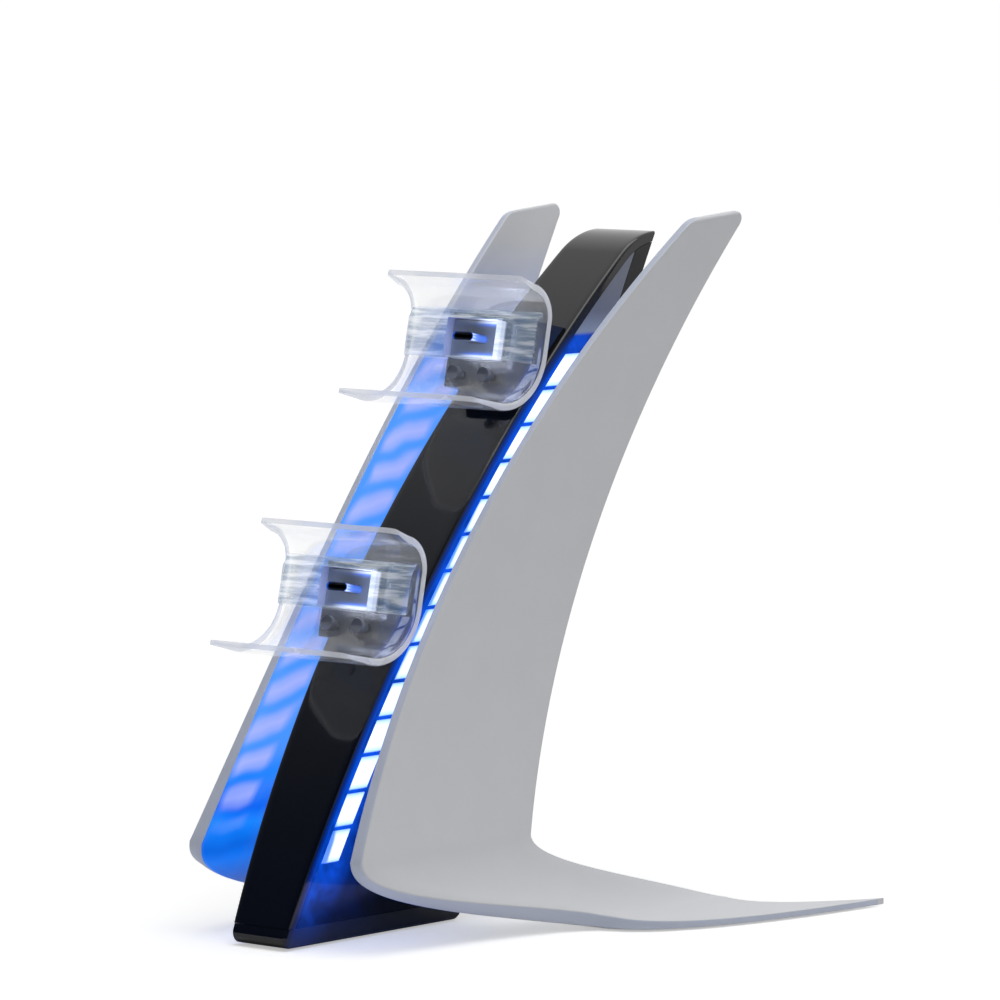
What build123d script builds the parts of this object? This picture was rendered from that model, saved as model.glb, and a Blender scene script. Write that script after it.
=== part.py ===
from build123d import *
import math
import os

# Charging dock for two game controllers. The origin is the middle of the base's underside,
# +Z is up and the cradles face -Y. All sizes are in millimetres and degrees.

# Column seen from its side: a front arc, a back arc and a rolled cap
front_radius = 515.0
front_lean_deg = 23.5
front_foot_y = -42.8
back_radius = 920.0
back_lean_deg = 16.8
back_foot_y = 38.6
cap_radius = 30.0
cap_start_height = 201.5

# Column seen from the front: two sides that bow out at the waist
waist_height = 118.0
waist_half_width = 14.9
side_bow_radius = 1650.0

# Walls of the column
seam = 0.15
cover_wall = 2.4
front_lip = 3.0
rear_wall = 2.2
rear_lip = 6.0
panel_wall = 1.8
front_edge_bevel = 0.8

# Chassis trough inside the column
chassis_half_width = 8.5
chassis_wall = 2.0
chassis_top_drop = 16.0

# Base
base_height = 6.5
base_wall = 2.0
base_floor = 2.0
base_edge_round = 3.0
pad_thickness = 0.6
pad_inset = 5.0
pad_corner_round = 3.4
base_boss_diameter = 8.0
base_screw_reach = 28.0
ballast_gap = 0.6

# Light windows down each side
window_setback = 4.3
window_width = 7.2
window_count = 14
window_pitch = 10.55
window_rib = 1.1
window_bottom = 24.4
light_bar_lip = 1.0
led_board_thickness = 0.8
light_sink = 0.2

# Wings and their swept feet
wing_front_radius = 544.0
wing_front_lean_deg = 23.3
wing_front_foot_y = -46.8
wing_back_radius = 632.0
wing_back_lean_deg = 15.9
wing_back_foot_y = 35.5
wing_top = 215.0
wing_top_tilt_deg = 4.5
wing_corner_round = 12.0
wing_back_round = 2.5
wing_pinch_height = 98.5
wing_pinch_x = 25.5
wing_bow_radius = 633.0
wing_thickness_top = 2.6
wing_thickness_bend = 5.7
wing_thickness_growth = 4.0
wing_bend_height = 28.0
foot_lift = 0.6
foot_front_root_y = 53.0
foot_back_root_y = 106.6
foot_shoulder_x = 80.0
foot_shoulder_y = 80.0
foot_back_x = 74.5
foot_back_y = 119.4
foot_tip_x = 91.5
foot_tip_y = 145.0
foot_tip_chord = 3.0
foot_root_thickness = 4.0
bend_taper = 3.0
foot_tip_thickness = 1.9
foot_taper = 3.0
front_sweep_haste = 0.93
front_sweep_speed = 0.18
back_sweep_haste = 0.75
back_sweep_speed = 0.32
flank_steps = 5
bend_steps = 7
foot_steps = 5
foot_pad_diameter = 9.0
foot_pad_depth = 0.8
foot_pad_x = 68.0
foot_pad_y = 82.0

# Posts that hold the wings off the column: place on the side view
post_diameter = 7.0
post_clearance = 0.3
post_places = [(22.0, 45.0), (52.0, 105.0), (88.0, 156.0)]

# Cradles: the upper one's anchor is on the back of its wall, at the plug's height
cradle_anchor_y = 60.8
cradle_anchor_z = 176.5
cradle_step_y = 58.0
cradle_step_z = 72.5
cradle_tilt_deg = 12.0
cradle_half_length = 28.0
cradle_wall = 2.6
cradle_flat_top = 6.5
cradle_flat_bottom = -4.2
cradle_top_radius = 10.5
cradle_bottom_radius = 19.2
top_lip_reach = 6.5
top_lip_rise = 1.2
bottom_lip_reach = 12.8
bottom_lip_rise = 0.8
lip_tip = 1.6
rest_depth = 2.4
rest_half_length = 26.0
rest_top = 5.5
rest_bottom = -6.5
rest_shoulder = 3.6
rest_edge = 0.6
socket_width = 20.0
socket_height = 12.0
socket_gap = 0.25

# Brackets between the leaning front and the cradles
bracket_half_width = 12.2
bracket_top = 8.2
bracket_bottom = -15.0
bracket_reach = 60.0

# USB-C plugs
plug_width = 8.34
plug_height = 2.56
plug_shell_wall = 0.25
plug_reach = 6.65
plug_seat = 4.0
plug_body_front = 1.8
plug_body_depth = 9.0
plug_mouth_width = 6.9
plug_mouth_height = 1.1
plug_mouth_depth = 5.2
plug_core_sink = 0.3
plug_gap = 0.05

# Screws: one kind for the cradles, the wings' posts and the base
screw_diameter = 2.6
screw_head_diameter = 4.6
screw_head_height = 1.6
screw_gap = 0.1
cradle_screw_spacing = 12.2
cradle_screw_drop = 11.0
cradle_screw_length = 9.0
cradle_boss_diameter = 6.4
cradle_screw_seat = 2.4
post_screw_bite = 7.0

# Charging board and power inlet at the back
board_thickness = 1.6
board_bottom = 12.0
board_height = 46.0
board_front_y = -5.0
board_back_y = 38.0
board_boss_diameter = 5.0
board_boss_spread = 11.0
inlet_height = 20.0
inlet_long = 8.94
inlet_short = 3.16
inlet_length = 9.3
inlet_wall = 0.3
inlet_back_wall = 1.2
inlet_tongue_long = 6.7
inlet_tongue_short = 0.7
inlet_tongue_length = 6.0
inlet_opening_gap = 0.3
inlet_sink = 0.6

# Indicator lens on the front
lens_drop = 9.0
lens_diameter = 3.0
lens_proud = 0.3
lens_gap = 0.1

reach = 300.0
beyond = 40.0
os.makedirs("parts", exist_ok=True)


def arc_centre(foot_y, radius, lean):
    """Centre, as (y, z), of an arc that leaves the floor at foot_y leaning back by lean degrees."""
    angle = math.radians(lean)
    return foot_y + radius * math.cos(angle), -radius * math.sin(angle)


def arc_y(foot_y, radius, lean, height, growth=0.0):
    """How far back such an arc lies at a height, with its radius changed by growth."""
    centre_y, centre_z = arc_centre(foot_y, radius, lean)
    return centre_y - math.sqrt((radius + growth) ** 2 - (height - centre_z) ** 2)


def front_y(height, inset=0.0):
    """Front face of the column at a height, or the surface inset behind it."""
    return arc_y(front_foot_y, front_radius, front_lean_deg, height, -inset)


def back_y(height, inset=0.0):
    """Back face of the column at a height, or the surface inset in front of it."""
    return arc_y(back_foot_y, back_radius, back_lean_deg, height, inset)


def side_x(height, inset=0.0):
    """Half the column's width at a height, less inset."""
    centre_x = waist_half_width - side_bow_radius
    return centre_x + math.sqrt((side_bow_radius - inset) ** 2 - (height - waist_height) ** 2)


def front_normal(height):
    """Unit vector, as (y, z), that points out of the front face at a height."""
    centre_y, centre_z = arc_centre(front_foot_y, front_radius, front_lean_deg)
    rise = (height - centre_z) / front_radius
    return -math.sqrt(1.0 - rise**2), rise


def column_outline(front_inset, back_inset, floor):
    """Side view of the column as a face, with its front and back pulled in."""
    centre_y, centre_z = arc_centre(front_foot_y, front_radius, front_lean_deg)
    normal_y, normal_z = front_normal(cap_start_height)
    radius = front_radius - front_inset
    cap = cap_radius - front_inset
    cap_start = (centre_y + radius * normal_y, centre_z + radius * normal_z)
    cap_centre = (cap_start[0] - cap * normal_y, cap_start[1] - cap * normal_z)
    cap_top = (cap_centre[0], cap_centre[1] + cap)
    half_turn = math.radians(90.0) - math.asin(normal_z)
    cap_angle = math.asin(normal_z) + half_turn / 2.0
    cap_middle = (cap_centre[0] - cap * math.cos(cap_angle), cap_centre[1] + cap * math.sin(cap_angle))
    middle = (floor + cap_start[1]) / 2.0
    back_middle = (floor + cap_top[1]) / 2.0
    start = (front_y(floor, front_inset), floor)
    back_top = (back_y(cap_top[1], back_inset), cap_top[1])
    back_start = (back_y(floor, back_inset), floor)
    with BuildSketch(Plane.YZ) as outline:
        with BuildLine():
            ThreePointArc(start, (front_y(middle, front_inset), middle), cap_start)
            ThreePointArc(cap_start, cap_middle, cap_top)
            Line(cap_top, back_top)
            ThreePointArc(back_top, (back_y(back_middle, back_inset), back_middle), back_start)
            Line(back_start, start)
        make_face()
    return outline.sketch


def column_block(front_inset, back_inset, floor):
    """What lies behind the front and before the back, made far wider than the column."""
    behind_front = column_outline(front_inset, -beyond, floor)
    before_back = column_outline(-beyond, back_inset, floor)
    with BuildPart() as block:
        extrude(behind_front, amount=reach, both=True)
        extrude(before_back, amount=reach, both=True, mode=Mode.INTERSECT)
    return block.part


def bowed_block(inset):
    """Everything between the column's two bowed sides, pulled in by inset."""
    low = -base_height
    high = wing_top + base_height
    low_x = side_x(low, inset)
    waist_x = side_x(waist_height, inset)
    high_x = side_x(high, inset)
    with BuildPart() as block:
        with BuildSketch(Plane.XZ):
            with BuildLine():
                ThreePointArc((low_x, low), (waist_x, waist_height), (high_x, high))
                Line((high_x, high), (-high_x, high))
                ThreePointArc((-high_x, high), (-waist_x, waist_height), (-low_x, low))
                Line((-low_x, low), (low_x, low))
            make_face()
        extrude(amount=reach, both=True)
    return block.part


def column_solid(front_inset, back_inset, side_inset, floor):
    """Column outline between its bowed sides, pulled in from all round."""
    block = column_block(front_inset, back_inset, floor)
    sides = bowed_block(side_inset)
    with BuildPart() as solid:
        add(block)
        add(sides, mode=Mode.INTERSECT)
    return solid.part


def band_points(margin, floor, ceiling):
    """Side view of the windows' strip, widened by margin: three points up its front, three down its back."""
    near = window_setback - margin
    far = window_setback + window_width + margin
    heights = (floor, (floor + ceiling) / 2.0, ceiling)
    return [(front_y(z, near), z) for z in heights], [(front_y(z, far), z) for z in reversed(heights)]


def light_strip():
    """Side view of a light bar's backing, which laps the windows all round."""
    rise, fall = band_points(light_bar_lip, window_bottom - light_bar_lip, window_top + light_bar_lip)
    with BuildSketch(Plane.YZ) as strip:
        with BuildLine():
            ThreePointArc(*rise)
            Line(rise[-1], fall[0])
            ThreePointArc(*fall)
            Line(fall[-1], rise[0])
        make_face()
    return strip.sketch


def light_cells(clearance):
    """Side view of the light windows, each made smaller all round by clearance."""
    margin = window_rib / 2.0 + clearance
    with BuildSketch(Plane.YZ) as cells:
        for index in range(window_count):
            floor = window_bottom + index * window_pitch + margin
            rise, fall = band_points(-clearance, floor, floor + window_pitch - 2.0 * margin)
            with BuildLine():
                ThreePointArc(*rise)
                Line(rise[-1], fall[0])
                ThreePointArc(*fall)
                Line(fall[-1], rise[0])
            make_face()
    return cells.sketch


def screw(plane, length):
    """Pan-head screw whose head seats on the plane and whose shank runs against its normal."""
    with BuildPart() as body:
        with BuildSketch(plane):
            Circle(screw_head_diameter / 2.0)
        extrude(amount=screw_head_height)
        with BuildSketch(plane):
            Circle(screw_diameter / 2.0)
        extrude(amount=-length)
    return body.part


def is_front_edge(edge):
    """True for the long edges where the column's front and cap meet its sides."""
    middle = edge @ 0.5
    ahead = middle.Y < (front_y(middle.Z) + back_y(middle.Z)) / 2.0
    return ahead and abs(middle.X) > seam and middle.Z > base_height + seam + front_edge_bevel


def is_base_edge(edge):
    """True for the edges round the base's two sides, but for those along its open top."""
    middle = edge @ 0.5
    on_side = min(abs(end.X) for end in (edge @ 0.0, middle, edge @ 1.0)) > waist_half_width / 2.0
    return on_side and middle.Z < base_height - seam


def export(part, name):
    """Label a finished piece and write it under its name."""
    part.label = name
    export_step(part, f"parts/{name}.step")


# Levels and surfaces that several pieces share
window_top = window_bottom + window_count * window_pitch
inner_floor = base_height + seam
column_body = column_solid(0.0, 0.0, 0.0, inner_floor)
cap_level = column_body.bounding_box().max.Z
chassis_front = cover_wall + seam
chassis_back = rear_wall + seam
chassis_top = cap_level - chassis_top_drop
screw_hole = screw_diameter + 2.0 * screw_gap
screw_sink = screw_head_diameter + 2.0 * screw_gap

lens_height = cradle_anchor_z - cradle_step_z + bracket_bottom - lens_drop

# Front cover: a U-shaped shell whose cap rolls back over the top
lens_point = (0.0, front_y(lens_height), lens_height)
lens_out = (0.0, *front_normal(lens_height))
lens_plane = Plane(origin=lens_point, x_dir=(1, 0, 0), z_dir=lens_out)
behind_front_lip = column_block(front_lip, -beyond, 0.0)
front_hollow = column_solid(cover_wall, -beyond, cover_wall, 0.0)
with BuildPart() as front_cover:
    add(column_body)
    chamfer([edge for edge in front_cover.edges() if is_front_edge(edge)], length=front_edge_bevel)
    add(behind_front_lip, mode=Mode.SUBTRACT)
    add(front_hollow, mode=Mode.SUBTRACT)
    with BuildSketch(lens_plane):
        Circle(lens_diameter / 2.0 + lens_gap)
    extrude(amount=-front_lip, mode=Mode.SUBTRACT)
export(front_cover.part, "front_cover")

with BuildPart() as indicator_lens:
    with BuildSketch(lens_plane.offset(lens_proud)):
        Circle(lens_diameter / 2.0)
    extrude(amount=-(lens_proud + cover_wall))
export(indicator_lens.part, "indicator_lens")

# Rear cover: a U-shaped shell with the opening of the power inlet
inlet_mouth_y = back_y(inlet_height)
inlet_plane = Plane(origin=(0.0, inlet_mouth_y, inlet_height), x_dir=(0, 0, 1), z_dir=(0, 1, 0))
behind_front_seam = column_block(front_lip + seam, -beyond, 0.0)
before_rear_lip = column_block(-beyond, rear_lip, -base_height)
rear_hollow = column_solid(-beyond, rear_wall, rear_wall, 0.0)
with BuildPart() as rear_cover:
    add(column_body)
    add(behind_front_seam, mode=Mode.INTERSECT)
    add(before_rear_lip, mode=Mode.SUBTRACT)
    add(rear_hollow, mode=Mode.SUBTRACT)
    with BuildSketch(inlet_plane):
        SlotOverall(inlet_long + 2.0 * inlet_opening_gap, inlet_short + 2.0 * inlet_opening_gap)
    extrude(amount=rear_lip, both=True, mode=Mode.SUBTRACT)
export(rear_cover.part, "rear_cover")

# Smoked side panels between the lips of the two covers, with the light windows
panel_body = column_solid(front_lip + seam, rear_lip + seam, 0.0, inner_floor)
panel_hollow = bowed_block(panel_wall)
windows = light_cells(0.0)
with BuildPart() as right_side_panel:
    add(panel_body)
    add(panel_hollow, mode=Mode.SUBTRACT)
    split(bisect_by=Plane.YZ, keep=Keep.TOP)
    extrude(windows, amount=reach, mode=Mode.SUBTRACT)
    with BuildSketch(Plane.YZ):
        with Locations(*post_places):
            Circle(post_diameter / 2.0 + post_clearance)
    extrude(amount=reach, mode=Mode.SUBTRACT)
export(right_side_panel.part, "right_side_panel")
with BuildPart() as left_side_panel:
    add(right_side_panel.part)
    mirror(about=Plane.YZ, mode=Mode.REPLACE)
export(left_side_panel.part, "left_side_panel")

# Light bars: a backing strip on the board, with one raised cell in each window
board_face = chassis_half_width + led_board_thickness
backing = light_strip()
backing_limit = bowed_block(panel_wall + seam)
cells = light_cells(seam)
cell_limit = bowed_block(light_sink)
with BuildPart() as grooves:
    extrude(backing, amount=reach)
    extrude(cells, amount=reach, mode=Mode.SUBTRACT)
    add(backing_limit, mode=Mode.SUBTRACT)
with BuildPart() as right_light_bar:
    extrude(backing, amount=reach)
    add(cell_limit, mode=Mode.INTERSECT)
    add(grooves.part, mode=Mode.SUBTRACT)
    split(bisect_by=Plane.YZ.offset(board_face), keep=Keep.TOP)
export(right_light_bar.part, "right_light_bar")
with BuildPart() as left_light_bar:
    add(right_light_bar.part)
    mirror(about=Plane.YZ, mode=Mode.REPLACE)
export(left_light_bar.part, "left_light_bar")

with BuildPart() as right_led_board:
    extrude(backing, amount=board_face)
    split(bisect_by=Plane.YZ.offset(chassis_half_width), keep=Keep.TOP)
export(right_led_board.part, "right_led_board")
with BuildPart() as left_led_board:
    add(right_led_board.part)
    mirror(about=Plane.YZ, mode=Mode.REPLACE)
export(left_led_board.part, "left_led_board")

# Chassis: a trough, open at the back, that the covers, boards and posts are fixed to
trough_half_width = chassis_half_width - chassis_wall
board_left = -inlet_short / 2.0 - board_thickness
board_middle_y = (board_front_y + board_back_y) / 2.0
board_middle_z = board_bottom + board_height / 2.0
board_boss_places = [
    (board_middle_y - board_boss_spread, board_middle_z - board_boss_spread),
    (board_middle_y + board_boss_spread, board_middle_z + board_boss_spread),
]
base_screw_places = [(0.0, -base_screw_reach), (0.0, base_screw_reach)]
chassis_body = column_block(chassis_front, chassis_back, inner_floor)
trough_body = column_block(chassis_front + chassis_wall, -beyond, inner_floor + chassis_wall)
with BuildPart() as trough:
    add(trough_body)
    split(bisect_by=Plane.YZ.offset(trough_half_width), keep=Keep.BOTTOM)
    split(bisect_by=Plane.YZ.offset(-trough_half_width), keep=Keep.TOP)
    split(bisect_by=Plane.XY.offset(chassis_top - chassis_wall), keep=Keep.BOTTOM)
with BuildPart() as chassis:
    add(chassis_body)
    split(bisect_by=Plane.YZ.offset(chassis_half_width), keep=Keep.BOTTOM)
    split(bisect_by=Plane.YZ.offset(-chassis_half_width), keep=Keep.TOP)
    split(bisect_by=Plane.XY.offset(chassis_top), keep=Keep.BOTTOM)
    add(trough.part, mode=Mode.SUBTRACT)
    with BuildSketch(Plane.YZ.offset(-trough_half_width)):
        with Locations(*board_boss_places):
            Circle(board_boss_diameter / 2.0)
    extrude(amount=board_left + trough_half_width)
    with BuildSketch(Plane.YZ):
        with Locations(*post_places):
            Circle(screw_hole / 2.0)
    extrude(amount=reach, both=True, mode=Mode.SUBTRACT)
    with BuildSketch(Plane.XY):
        with Locations(*base_screw_places):
            Circle(screw_hole / 2.0)
    extrude(amount=inner_floor + 2.0 * chassis_wall, mode=Mode.SUBTRACT)
export(chassis.part, "chassis")

# Base tray: the column's outline carried on down to rounded lower edges, with the screws' bosses
base_front = front_y(base_height)
base_back = back_y(base_height)
base_middle = (base_front + base_back) / 2.0
base_length = base_back - base_front
base_width = 2.0 * side_x(base_height)
tray_floor = pad_thickness + base_floor
pocket_front = base_front + base_wall
pocket_back = back_y(tray_floor) - base_wall
base_block = column_solid(0.0, 0.0, 0.0, pad_thickness)
with BuildPart() as base_tray:
    add(base_block)
    split(bisect_by=Plane.XY.offset(base_height), keep=Keep.BOTTOM)
    lower_edges = base_tray.faces().sort_by(Axis.Z)[0].edges().filter_by(Axis.X)
    fillet(lower_edges, radius=base_edge_round)
    chamfer([edge for edge in base_tray.edges() if is_base_edge(edge)], length=front_edge_bevel)
    with BuildSketch(Plane.XY.offset(tray_floor)):
        with Locations((0.0, (pocket_front + pocket_back) / 2.0)):
            Rectangle(base_width - 2.0 * base_wall, pocket_back - pocket_front)
    extrude(amount=base_height, mode=Mode.SUBTRACT)
    with BuildSketch(Plane.XY.offset(pad_thickness)):
        with Locations(*base_screw_places):
            Circle(base_boss_diameter / 2.0)
    extrude(amount=inner_floor - pad_thickness)
    with BuildSketch(Plane.XY.offset(pad_thickness)):
        with Locations(*base_screw_places):
            Circle(screw_hole / 2.0)
    extrude(amount=base_height, mode=Mode.SUBTRACT)
    with BuildSketch(Plane.XY.offset(pad_thickness)):
        with Locations(*base_screw_places):
            Circle(screw_sink / 2.0)
    extrude(amount=screw_head_height + screw_gap, mode=Mode.SUBTRACT)
export(base_tray.part, "base_tray")

with BuildPart() as base_pad:
    with BuildSketch(Plane.XY):
        with Locations((0.0, base_middle)):
            RectangleRounded(base_width - 2.0 * pad_inset, base_length - 2.0 * pad_inset, pad_corner_round)
    extrude(amount=pad_thickness)
export(base_pad.part, "base_pad")

ballast_length = 2.0 * (base_screw_reach - base_boss_diameter / 2.0 - ballast_gap)
ballast_width = base_width - 2.0 * (base_wall + ballast_gap)
with BuildPart() as ballast:
    with BuildSketch(Plane.XY.offset(tray_floor)):
        Rectangle(ballast_width, ballast_length)
    extrude(amount=base_height - tray_floor)
export(ballast.part, "ballast")

base_screw_seat = pad_thickness + screw_head_height + screw_gap
base_screw_length = inner_floor + chassis_wall - base_screw_seat
base_screw_parts = []
for place_x, place_y in base_screw_places:
    seat = Plane(origin=(place_x, place_y, base_screw_seat), x_dir=(1, 0, 0), z_dir=(0, 0, -1))
    base_screw_parts.append(screw(seat, base_screw_length))
export(Compound(children=base_screw_parts), "base_screws")

# Charging board on the chassis, with the power inlet on its back edge
with BuildPart() as main_board:
    with BuildSketch(Plane.YZ.offset(board_left)):
        with Locations((board_middle_y, board_middle_z)):
            Rectangle(board_back_y - board_front_y, board_height)
    extrude(amount=board_thickness)
export(main_board.part, "main_board")

inlet_mouth = inlet_plane.offset(-inlet_sink)
with BuildPart() as power_inlet:
    with BuildSketch(inlet_mouth):
        SlotOverall(inlet_long, inlet_short)
    extrude(amount=-inlet_length)
    with BuildSketch(inlet_mouth):
        SlotOverall(inlet_long - 2.0 * inlet_wall, inlet_short - 2.0 * inlet_wall)
    extrude(amount=-(inlet_length - inlet_back_wall), mode=Mode.SUBTRACT)
export(power_inlet.part, "power_inlet")

with BuildPart() as inlet_tongue:
    with BuildSketch(inlet_mouth.offset(-(inlet_length - inlet_back_wall))):
        Rectangle(inlet_tongue_long, inlet_tongue_short)
    extrude(amount=inlet_tongue_length)
export(inlet_tongue.part, "inlet_tongue")


# Wings: sections lofted down the flank, round the bend and out along the swept foot
def sweep(share, haste, speed):
    """How far an edge has swept back round the bend: still at the start, leaving at the given speed."""
    way = share**haste
    at_rest = way**3 * (10.0 - 15.0 * way + 6.0 * way**2)
    return at_rest + speed * way**3 * (-4.0 + 7.0 * way - 3.0 * way**2)


def blend(start, end, share):
    """Value that lies share of the way from start to end."""
    return start + (end - start) * share


def wing_inner_x(height):
    """Inner face of the right wing at a height: two arcs back to back that pinch at one level."""
    centre_x = wing_pinch_x + wing_bow_radius
    return centre_x - math.sqrt(wing_bow_radius**2 - (height - wing_pinch_height) ** 2)


def wing_front_y(height):
    """Front edge of the wing at a height."""
    return arc_y(wing_front_foot_y, wing_front_radius, wing_front_lean_deg, height)


def wing_back_y(height):
    """Back edge of the wing at a height."""
    return arc_y(wing_back_foot_y, wing_back_radius, wing_back_lean_deg, height)


def wing_thickness(height):
    """Thickness of the wing, which grows faster and faster from its top to the bend."""
    share = max(wing_top - height, 0.0) / (wing_top - wing_bend_height)
    return blend(wing_thickness_top, wing_thickness_bend, share**wing_thickness_growth)


def through(start, middle, end, share):
    """Point on the parabola that passes its middle point at half way."""
    weights = ((1.0 - share) * (1.0 - 2.0 * share), 4.0 * share * (1.0 - share), share * (2.0 * share - 1.0))
    return tuple(sum(w * p for w, p in zip(weights, axis)) for axis in zip(start, middle, end))


def wing_section(front, back, along, thickness):
    """Thin rectangle from the front edge to the back edge, square to the direction along."""
    front_point, back_point = Vector(*front), Vector(*back)
    chord = back_point - front_point
    plane = Plane(origin=(front_point + back_point) / 2.0, x_dir=chord, z_dir=along)
    with BuildSketch(plane) as section:
        Rectangle(chord.length, thickness)
    return section.sketch.faces()[0]


def flank_section(height):
    """Section of the right wing's upright flank at a height."""
    thickness = wing_thickness(height)
    middle_x = wing_inner_x(height) + thickness / 2.0
    slope = (wing_pinch_height - height) / wing_bow_radius
    front = (middle_x, wing_front_y(height), height)
    back = (middle_x, wing_back_y(height), height)
    return wing_section(front, back, (slope, 0.0, -1.0), thickness)


def bend_section(share):
    """Section of the right wing part of the way round the bend into its foot."""
    angle = blend(bend_start, math.pi / 2.0, share)
    thickness = blend(wing_thickness_bend, foot_root_thickness, share**bend_taper)
    front_swept = sweep(share, front_sweep_haste, front_sweep_speed)
    back_swept = sweep(share, back_sweep_haste, back_sweep_speed)
    x = bend_x - bend_radius * math.cos(angle)
    z = bend_z - bend_radius * math.sin(angle)
    front = (x, blend(wing_front_y(wing_bend_height), foot_front_root_y, front_swept), z)
    back = (x, blend(wing_back_y(wing_bend_height), foot_back_root_y, back_swept), z)
    return wing_section(front, back, (math.sin(angle), 0.0, -math.cos(angle)), thickness)


def foot_section(share):
    """Section of the right wing's foot part of the way from the bend to its tip."""
    thickness = blend(foot_tip_thickness, foot_root_thickness, (1.0 - share) ** foot_taper)
    z = foot_lift + thickness / 2.0
    tip_front = (foot_tip_x, foot_tip_y - foot_tip_chord / 2.0)
    tip_back = (foot_tip_x, foot_tip_y + foot_tip_chord / 2.0)
    front = through((bend_x, foot_front_root_y), (foot_shoulder_x, foot_shoulder_y), tip_front, share)
    back = through((bend_x, foot_back_root_y), (foot_back_x, foot_back_y), tip_back, share)
    outward = (back[1] - front[1], front[0] - back[0], 0.0)
    return wing_section((*front, z), (*back, z), outward, thickness)


bend_start = math.asin((wing_pinch_height - wing_bend_height) / wing_bow_radius)
bend_radius = (wing_bend_height - foot_lift - foot_root_thickness / 2.0) / (1.0 - math.sin(bend_start))
bend_x = wing_inner_x(wing_bend_height) + wing_thickness_bend / 2.0 + bend_radius * math.cos(bend_start)
bend_z = wing_bend_height + bend_radius * math.sin(bend_start)
flank_top = wing_top + wing_thickness_top
flank_heights = [blend(flank_top, wing_bend_height, step / flank_steps) for step in range(flank_steps + 1)]
flank_loft = [flank_section(height) for height in flank_heights]
bend_loft = [bend_section(step / bend_steps) for step in range(bend_steps + 1)]
foot_loft = [foot_section(step / foot_steps) for step in range(foot_steps + 1)]
post_end = chassis_half_width
top_tilt = math.radians(wing_top_tilt_deg)
top_facing = (0.0, -math.sin(top_tilt), math.cos(top_tilt))
wing_top_plane = Plane(origin=(0.0, wing_back_y(wing_top), wing_top), x_dir=(1, 0, 0), z_dir=top_facing)
with BuildPart() as right_wing:
    loft(flank_loft)
    loft(bend_loft)
    loft(foot_loft)
    split(bisect_by=wing_top_plane, keep=Keep.BOTTOM)
    top_corners = right_wing.faces().sort_by(Axis.Z)[-1].edges().sort_by(Edge.length)[:2].sort_by(Axis.Y)
    fillet(top_corners[0], radius=wing_corner_round)
    fillet(right_wing.faces().sort_by(Axis.Z)[-1].edges().sort_by(Axis.Y)[-1], radius=wing_back_round)
    for place_y, place_z in post_places:
        with BuildSketch(Plane.YZ.offset(post_end)):
            with Locations((place_y, place_z)):
                Circle(post_diameter / 2.0)
        extrude(amount=wing_inner_x(place_z) + wing_thickness(place_z) / 2.0 - post_end)
    with BuildSketch(Plane.YZ.offset(post_end)):
        with Locations(*post_places):
            Circle(screw_hole / 2.0)
    extrude(amount=post_screw_bite + screw_gap, mode=Mode.SUBTRACT)
    with BuildSketch(Plane.XY):
        with Locations((foot_pad_x, foot_pad_y)):
            Circle(foot_pad_diameter / 2.0)
    extrude(amount=foot_lift + foot_pad_depth, mode=Mode.SUBTRACT)
export(right_wing.part, "right_wing")
with BuildPart() as left_wing:
    add(right_wing.part)
    mirror(about=Plane.YZ, mode=Mode.REPLACE)
export(left_wing.part, "left_wing")

with BuildPart() as foot_pads:
    with BuildSketch(Plane.XY):
        with Locations((-foot_pad_x, foot_pad_y), (foot_pad_x, foot_pad_y)):
            Circle(foot_pad_diameter / 2.0)
    extrude(amount=foot_lift + foot_pad_depth)
export(foot_pads.part, "foot_pads")

wing_screw_parts = []
for place_y, place_z in post_places:
    for side in (-1.0, 1.0):
        seat = Plane(origin=(side * trough_half_width, place_y, place_z), x_dir=(0, 1, 0), z_dir=(-side, 0, 0))
        wing_screw_parts.append(screw(seat, chassis_wall + post_screw_bite))
export(Compound(children=wing_screw_parts), "wing_screws")


# Cradles, each with its bracket, plug and two screws
def cradle_side(anchor):
    """Side view of a cradle: first axis out of its wall towards the user, second axis up the wall."""
    tilt = math.radians(cradle_tilt_deg)
    return Plane(origin=(0.0, *anchor), x_dir=(0.0, -math.cos(tilt), math.sin(tilt)), z_dir=(-1.0, 0.0, 0.0))


def cradle_face(anchor, forward):
    """Front view of a cradle, as a plane that lies forward of the back of its wall."""
    tilt = math.radians(cradle_tilt_deg)
    facing = (0.0, -math.cos(tilt), math.sin(tilt))
    return Plane(origin=(0.0, *anchor), x_dir=(1.0, 0.0, 0.0), z_dir=facing).offset(forward)


slant = math.sqrt(0.5)
top_middle = (cradle_top_radius, cradle_flat_top)
bottom_middle = (cradle_bottom_radius, cradle_flat_bottom)
top_tip = (cradle_top_radius + top_lip_reach, cradle_flat_top + cradle_top_radius + top_lip_rise)
bottom_tip = (cradle_bottom_radius + bottom_lip_reach, cradle_flat_bottom - cradle_bottom_radius + bottom_lip_rise)
top_inner = cradle_top_radius - cradle_wall
bottom_inner = cradle_bottom_radius - cradle_wall
rest_front = cradle_wall + rest_depth
screw_spots = [(-cradle_screw_spacing / 2.0, -cradle_screw_drop), (cradle_screw_spacing / 2.0, -cradle_screw_drop)]
plug_back = plug_body_front - plug_body_depth
behind_front = column_block(0.0, -beyond, -base_height)


def around(centre, radius, right, up):
    """Point at a radius from a centre, in a direction given by its two shares."""
    return centre[0] + radius * right, centre[1] + radius * up


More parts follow.
